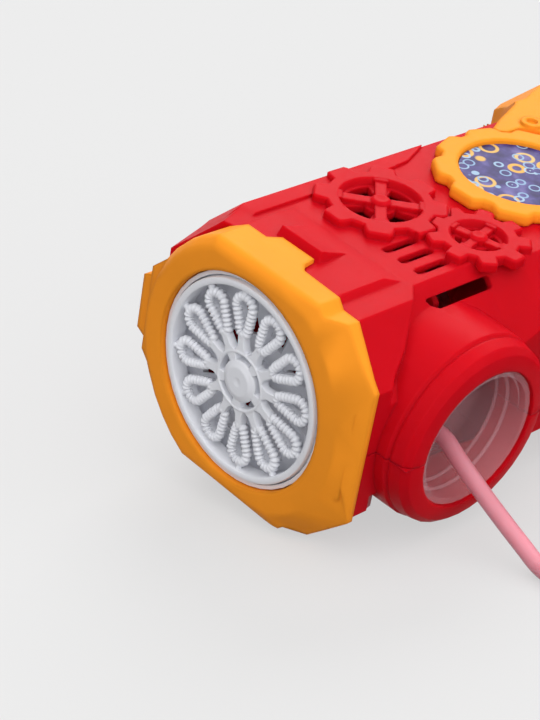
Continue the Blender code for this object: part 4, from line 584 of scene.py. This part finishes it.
def wand_disc():
    """The disc with every rib of its loops, its spokes, hub and rim."""
    bm = bmesh.new()
    inner = DISC_RADIUS - RIM_WALL
    r = RIM_ROUND
    add_turned(bm, ((inner, r), (inner + r * 0.3, r * 0.3), (inner + r, 0.0), (DISC_RADIUS - r, 0.0),
                    (DISC_RADIUS - r * 0.3, r * 0.3), (DISC_RADIUS, r), (DISC_RADIUS, DISC_DEPTH),
                    (inner, DISC_DEPTH)), RIM_SEGMENTS)
    count = RIB_COUNT * RIB_STEPS
    groove = LOOP_WIRE - RIB_RISE
    radii = [groove + 2 * RIB_RISE * abs(math.sin(math.pi * k / RIB_STEPS)) for k in range(count)]
    bar_front = LOOP_DEPTH - SPOKE_DEPTH / 2
    for n in range(LOOP_COUNT):
        turn = LOOP_TURN + 2 * math.pi * n / LOOP_COUNT
        path = loop_path(turn, count)
        skin(bm, add_tube(bm, path, radii, LOOP_SIDES, True), True)
        add_loop_wall(bm, path[::RIB_STEPS // 2])
        along = Vector((math.cos(turn), math.sin(turn)))
        across = Vector((-along.y, along.x)) * (SPOKE_WIDTH / 2)
        left_side = [tuple(along * d - across * share) for d, share in SPOKE_FORM]
        right_side = [tuple(along * d + across * share) for d, share in reversed(SPOKE_FORM)]
        add_solid(bm, left_side + right_side, bar_front, bar_front + SPOKE_DEPTH, SPOKE_ROUND)
        stub = [Vector((along.x * d, LOOP_DEPTH, along.y * d)) for d in STUB_ENDS]
        skin(bm, add_tube(bm, stub, (STUB_RADIUS, STUB_RADIUS), LOOP_SIDES, False), False)
    add_hub(bm)
    disc = mesh_piece("ribbed_wand", bm, "wand", WHITE)
    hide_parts("wand_disc")


def add_hub(bm):
    """The hub's ring, the bridges between its slots and the dimpled boss."""
    edge = HUB_FRONT + HUB_ROUND
    add_turned(bm, ((SLOT_OUTER, edge), (SLOT_OUTER + HUB_ROUND, HUB_FRONT),
                    (HUB_RADIUS - HUB_ROUND, HUB_FRONT), (HUB_RADIUS, edge),
                    (HUB_RADIUS, HUB_DEPTH), (SLOT_OUTER, HUB_DEPTH)), HUB_SEGMENTS)
    step = 2 * math.pi / HUB_SLOTS
    for n in range(HUB_SLOTS):
        middle = math.pi / 2 + (n + 0.5) * step
        half = step / 2 - SLOT_HALF
        bridge = arc(SLOT_INNER - 0.0006, SLOT_OUTER + 0.0004, middle - half, middle + half, BRIDGE_STEPS)
        add_solid(bm, bridge, HUB_FRONT + BRIDGE_INSET, HUB_DEPTH - BRIDGE_INSET, BRIDGE_INSET)
    tiny = 0.00002
    add_turned(bm, ((tiny, DIMPLE_DEPTH - BOSS_RISE), (DIMPLE_RADIUS, DIMPLE_DEPTH - BOSS_RISE),
                    (DIMPLE_RADIUS + 0.0004, -BOSS_RISE), (DIMPLE_RADIUS + 0.0006, -BOSS_RISE),
                    (BOSS_RADIUS - 0.0012, -BOSS_RISE), (BOSS_RADIUS - 0.0010, -BOSS_RISE),
                    (BOSS_RADIUS - 0.0003, -BOSS_RISE + 0.0003), (BOSS_RADIUS, HUB_FRONT - 0.0001),
                    (SLOT_INNER - HUB_ROUND, HUB_FRONT), (SLOT_INNER, edge), (SLOT_INNER, HUB_DEPTH),
                    (BOSS_RADIUS, HUB_DEPTH), (BOSS_RADIUS, DISC_DEPTH), (tiny, DISC_DEPTH)), BOSS_SEGMENTS)


# Suction hose and collar

def smooth_route(points, spacing):
    """Read points at even steps from a smooth curve through the route's points."""
    count = len(points)
    dense = []
    for i in range(count - 1):
        a = Vector(points[max(i - 1, 0)])
        b = Vector(points[i])
        c = Vector(points[i + 1])
        d = Vector(points[min(i + 2, count - 1)])
        for k in range(ROUTE_STEPS):
            t = k / ROUTE_STEPS
            dense.append(0.5 * (2 * b + (c - a) * t + (2 * a - 5 * b + 4 * c - d) * t * t
                                + (3 * b - a - 3 * c + d) * t ** 3))
    dense.append(Vector(points[-1]))
    lengths = [0.0]
    for here, after in zip(dense, dense[1:]):
        lengths.append(lengths[-1] + (after - here).length)
    steps = round(lengths[-1] / spacing)
    route = []
    k = 0
    for n in range(steps + 1):
        want = lengths[-1] * n / steps
        while k < len(dense) - 2 and lengths[k + 1] < want:
            k += 1
        share = (want - lengths[k]) / (lengths[k + 1] - lengths[k])
        route.append(dense[k].lerp(dense[k + 1], share))
    return route


def suction_hose():
    """A soft tube with its bore, along the solid's route."""
    path = smooth_route(HOSE_ROUTE, HOSE_STEP)
    bm = bmesh.new()
    outer = add_tube(bm, path, [HOSE_RADIUS] * len(path), HOSE_SIDES, False)
    inner = add_tube(bm, path, [HOSE_BORE] * len(path), HOSE_SIDES, False)
    for rings in (outer, inner):
        for here, after in zip(rings, rings[1:]):
            for i in range(HOSE_SIDES):
                j = (i + 1) % HOSE_SIDES
                bm.faces.new((here[i], here[j], after[j], after[i]))
    for k in (0, -1):
        for i in range(HOSE_SIDES):
            j = (i + 1) % HOSE_SIDES
            bm.faces.new((outer[k][i], outer[k][j], inner[k][j], inner[k][i]))
    piece = mesh_piece("soft_suction_hose", bm, "housing", PINK)
    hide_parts("suction_hose")
    path = [TOY @ point for point in path]


def collar_thread():
    """The screw thread inside the collar, which the bottle's neck turns into."""
    bm = bmesh.new()
    radius = COLLAR_INNER + THREAD_SINK
    count = round(THREAD_STEPS * THREAD_TURNS)
    path = []
    radii = []
    for k in range(count + 1):
        turn = 2 * math.pi * k / THREAD_STEPS
        fade = min(1.0, k / THREAD_FADE, (count - k) / THREAD_FADE)
        path.append(Vector((THREAD_END - THREAD_PITCH * k / THREAD_STEPS,
                            SOCKET_Y + radius * math.cos(turn), radius * math.sin(turn))))
        radii.append(THREAD_RISE * max(THREAD_TIP, fade))
    skin(bm, add_tube(bm, path, radii, THREAD_SIDES, False, up=Vector((1, 0, 0))), False)
    mesh_piece("collar_thread", bm, "housing", CLEAR)


def seam_lips():
    """The moulded lips that close the parting line beside the bottle socket."""
    bm = bmesh.new()
    for low, high in SEAM_LIPS:
        ring = [(low[0], low[1]), (high[0], low[1]), (high[0], high[1]), (low[0], high[1])]
        skin(bm, [[bm.verts.new((x, y, z)) for x, y in ring] for z in (-LIP_HALF, LIP_HALF)], False)
    mesh_piece("seam_lips", bm, "housing", RED)


def soft_spring():
    """The trigger's spring, as in the solid."""
    low, high = (Vector(corner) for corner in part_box("trigger_spring"))
    middle = TOY.inverted() @ ((low + high) / 2)
    length = high.y - low.y
    count = SPRING_COILS * SPRING_STEPS
    path = []
    for k in range(count + 1):
        turn = 2 * math.pi * k / SPRING_STEPS
        path.append(middle + Vector((SPRING_RADIUS * math.cos(turn),
                                     (length - 2 * SPRING_WIRE) * (k / count - 0.5),
                                     SPRING_RADIUS * math.sin(turn))))
    bm = bmesh.new()
    skin(bm, add_tube(bm, path, [SPRING_WIRE] * len(path), SPRING_SIDES, False), False)
    spring = mesh_piece("soft_spring", bm, "housing", STEEL)
    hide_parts("trigger_spring")
    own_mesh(spring)


# Stage

def show(tree, socket, lighting, seen):
    """Give a level to light the toy with, and one for what the camera, shine and clear plastic see."""
    rays = tree.nodes.new("ShaderNodeLightPath")
    view = rays.outputs["Is Camera Ray"]
    for ray in ("Is Glossy Ray", "Is Transmission Ray"):
        either = tree.nodes.new("ShaderNodeMath")
        either.operation = "MAXIMUM"
        tree.links.new(view, either.inputs[0])
        tree.links.new(rays.outputs[ray], either.inputs[1])
        view = either.outputs[0]
    level = tree.nodes.new("ShaderNodeMapRange")
    level.inputs["To Min"].default_value = lighting
    level.inputs["To Max"].default_value = seen
    tree.links.new(view, level.inputs["Value"])
    tree.links.new(level.outputs["Result"], socket)


def floor():
    """A plain pale floor."""
    bm = bmesh.new()
    corners = ((-1, -1), (1, -1), (1, 1), (-1, 1))
    bm.faces.new([bm.verts.new((FLOOR_HALF * x, FLOOR_HALF * y, 0.0)) for x, y in corners])
    mesh = bpy.data.meshes.new("floor")
    bm.to_mesh(mesh)
    bm.free()
    plane = bpy.data.objects.new("floor", mesh)
    bpy.context.scene.collection.objects.link(plane)
    material = bpy.data.materials.new("pale_floor")
    material.use_nodes = True
    shader = material.node_tree.nodes["Principled BSDF"]
    shader.inputs["Base Color"].default_value = (*FLOOR_COLOUR, 1.0)
    shader.inputs["Roughness"].default_value = 0.9
    shader.inputs["Specular IOR Level"].default_value = 0.0
    shader.inputs["Emission Color"].default_value = (1.0, 1.0, 1.0, 1.0)
    show(material.node_tree, shader.inputs["Emission Strength"], 0.0, FLOOR_GLOW)
    mesh.materials.append(material)


def light():
    """A soft sky and two wide lamps."""
    world = bpy.data.worlds.new("studio")
    bpy.context.scene.world = world
    world.use_nodes = True
    sky = world.node_tree.nodes["Background"]
    sky.inputs["Color"].default_value = (1.0, 1.0, 1.0, 1.0)
    show(world.node_tree, sky.inputs["Strength"], SKY_LEVEL, BACKDROP_LEVEL)
    for name, (level, width, tilt_x, tilt_y) in (("side_lamp", SIDE_LAMP), ("back_lamp", BACK_LAMP)):
        lamp = bpy.data.lights.new(name, "SUN")
        lamp.energy = level
        lamp.angle = width
        sun = bpy.data.objects.new(name, lamp)
        sun.rotation_euler = (tilt_x, tilt_y, 0.0)
        bpy.context.scene.collection.objects.link(sun)


def camera():
    """The photograph's camera."""
    data = bpy.data.cameras.new("photo_camera")
    data.lens = CAMERA_LENS
    data.sensor_width = SENSOR
    data.clip_start = 0.01
    data.clip_end = 20.0
    eye = bpy.data.objects.new("photo_camera", data)
    eye.location = TOY @ Vector(CAMERA_SPOT)
    eye.rotation_euler = (math.pi / 2 - CAMERA_ELEVATION, 0.0, CAMERA_AZIMUTH)
    bpy.context.scene.collection.objects.link(eye)
    bpy.context.scene.camera = eye


camera()
suction_hose()
paint_nodes()
smooth_nodes()
wand_disc()
collar_thread()
seam_lips()
soft_spring()
floor()
light()
bpy.context.scene.view_settings.view_transform = "Standard"
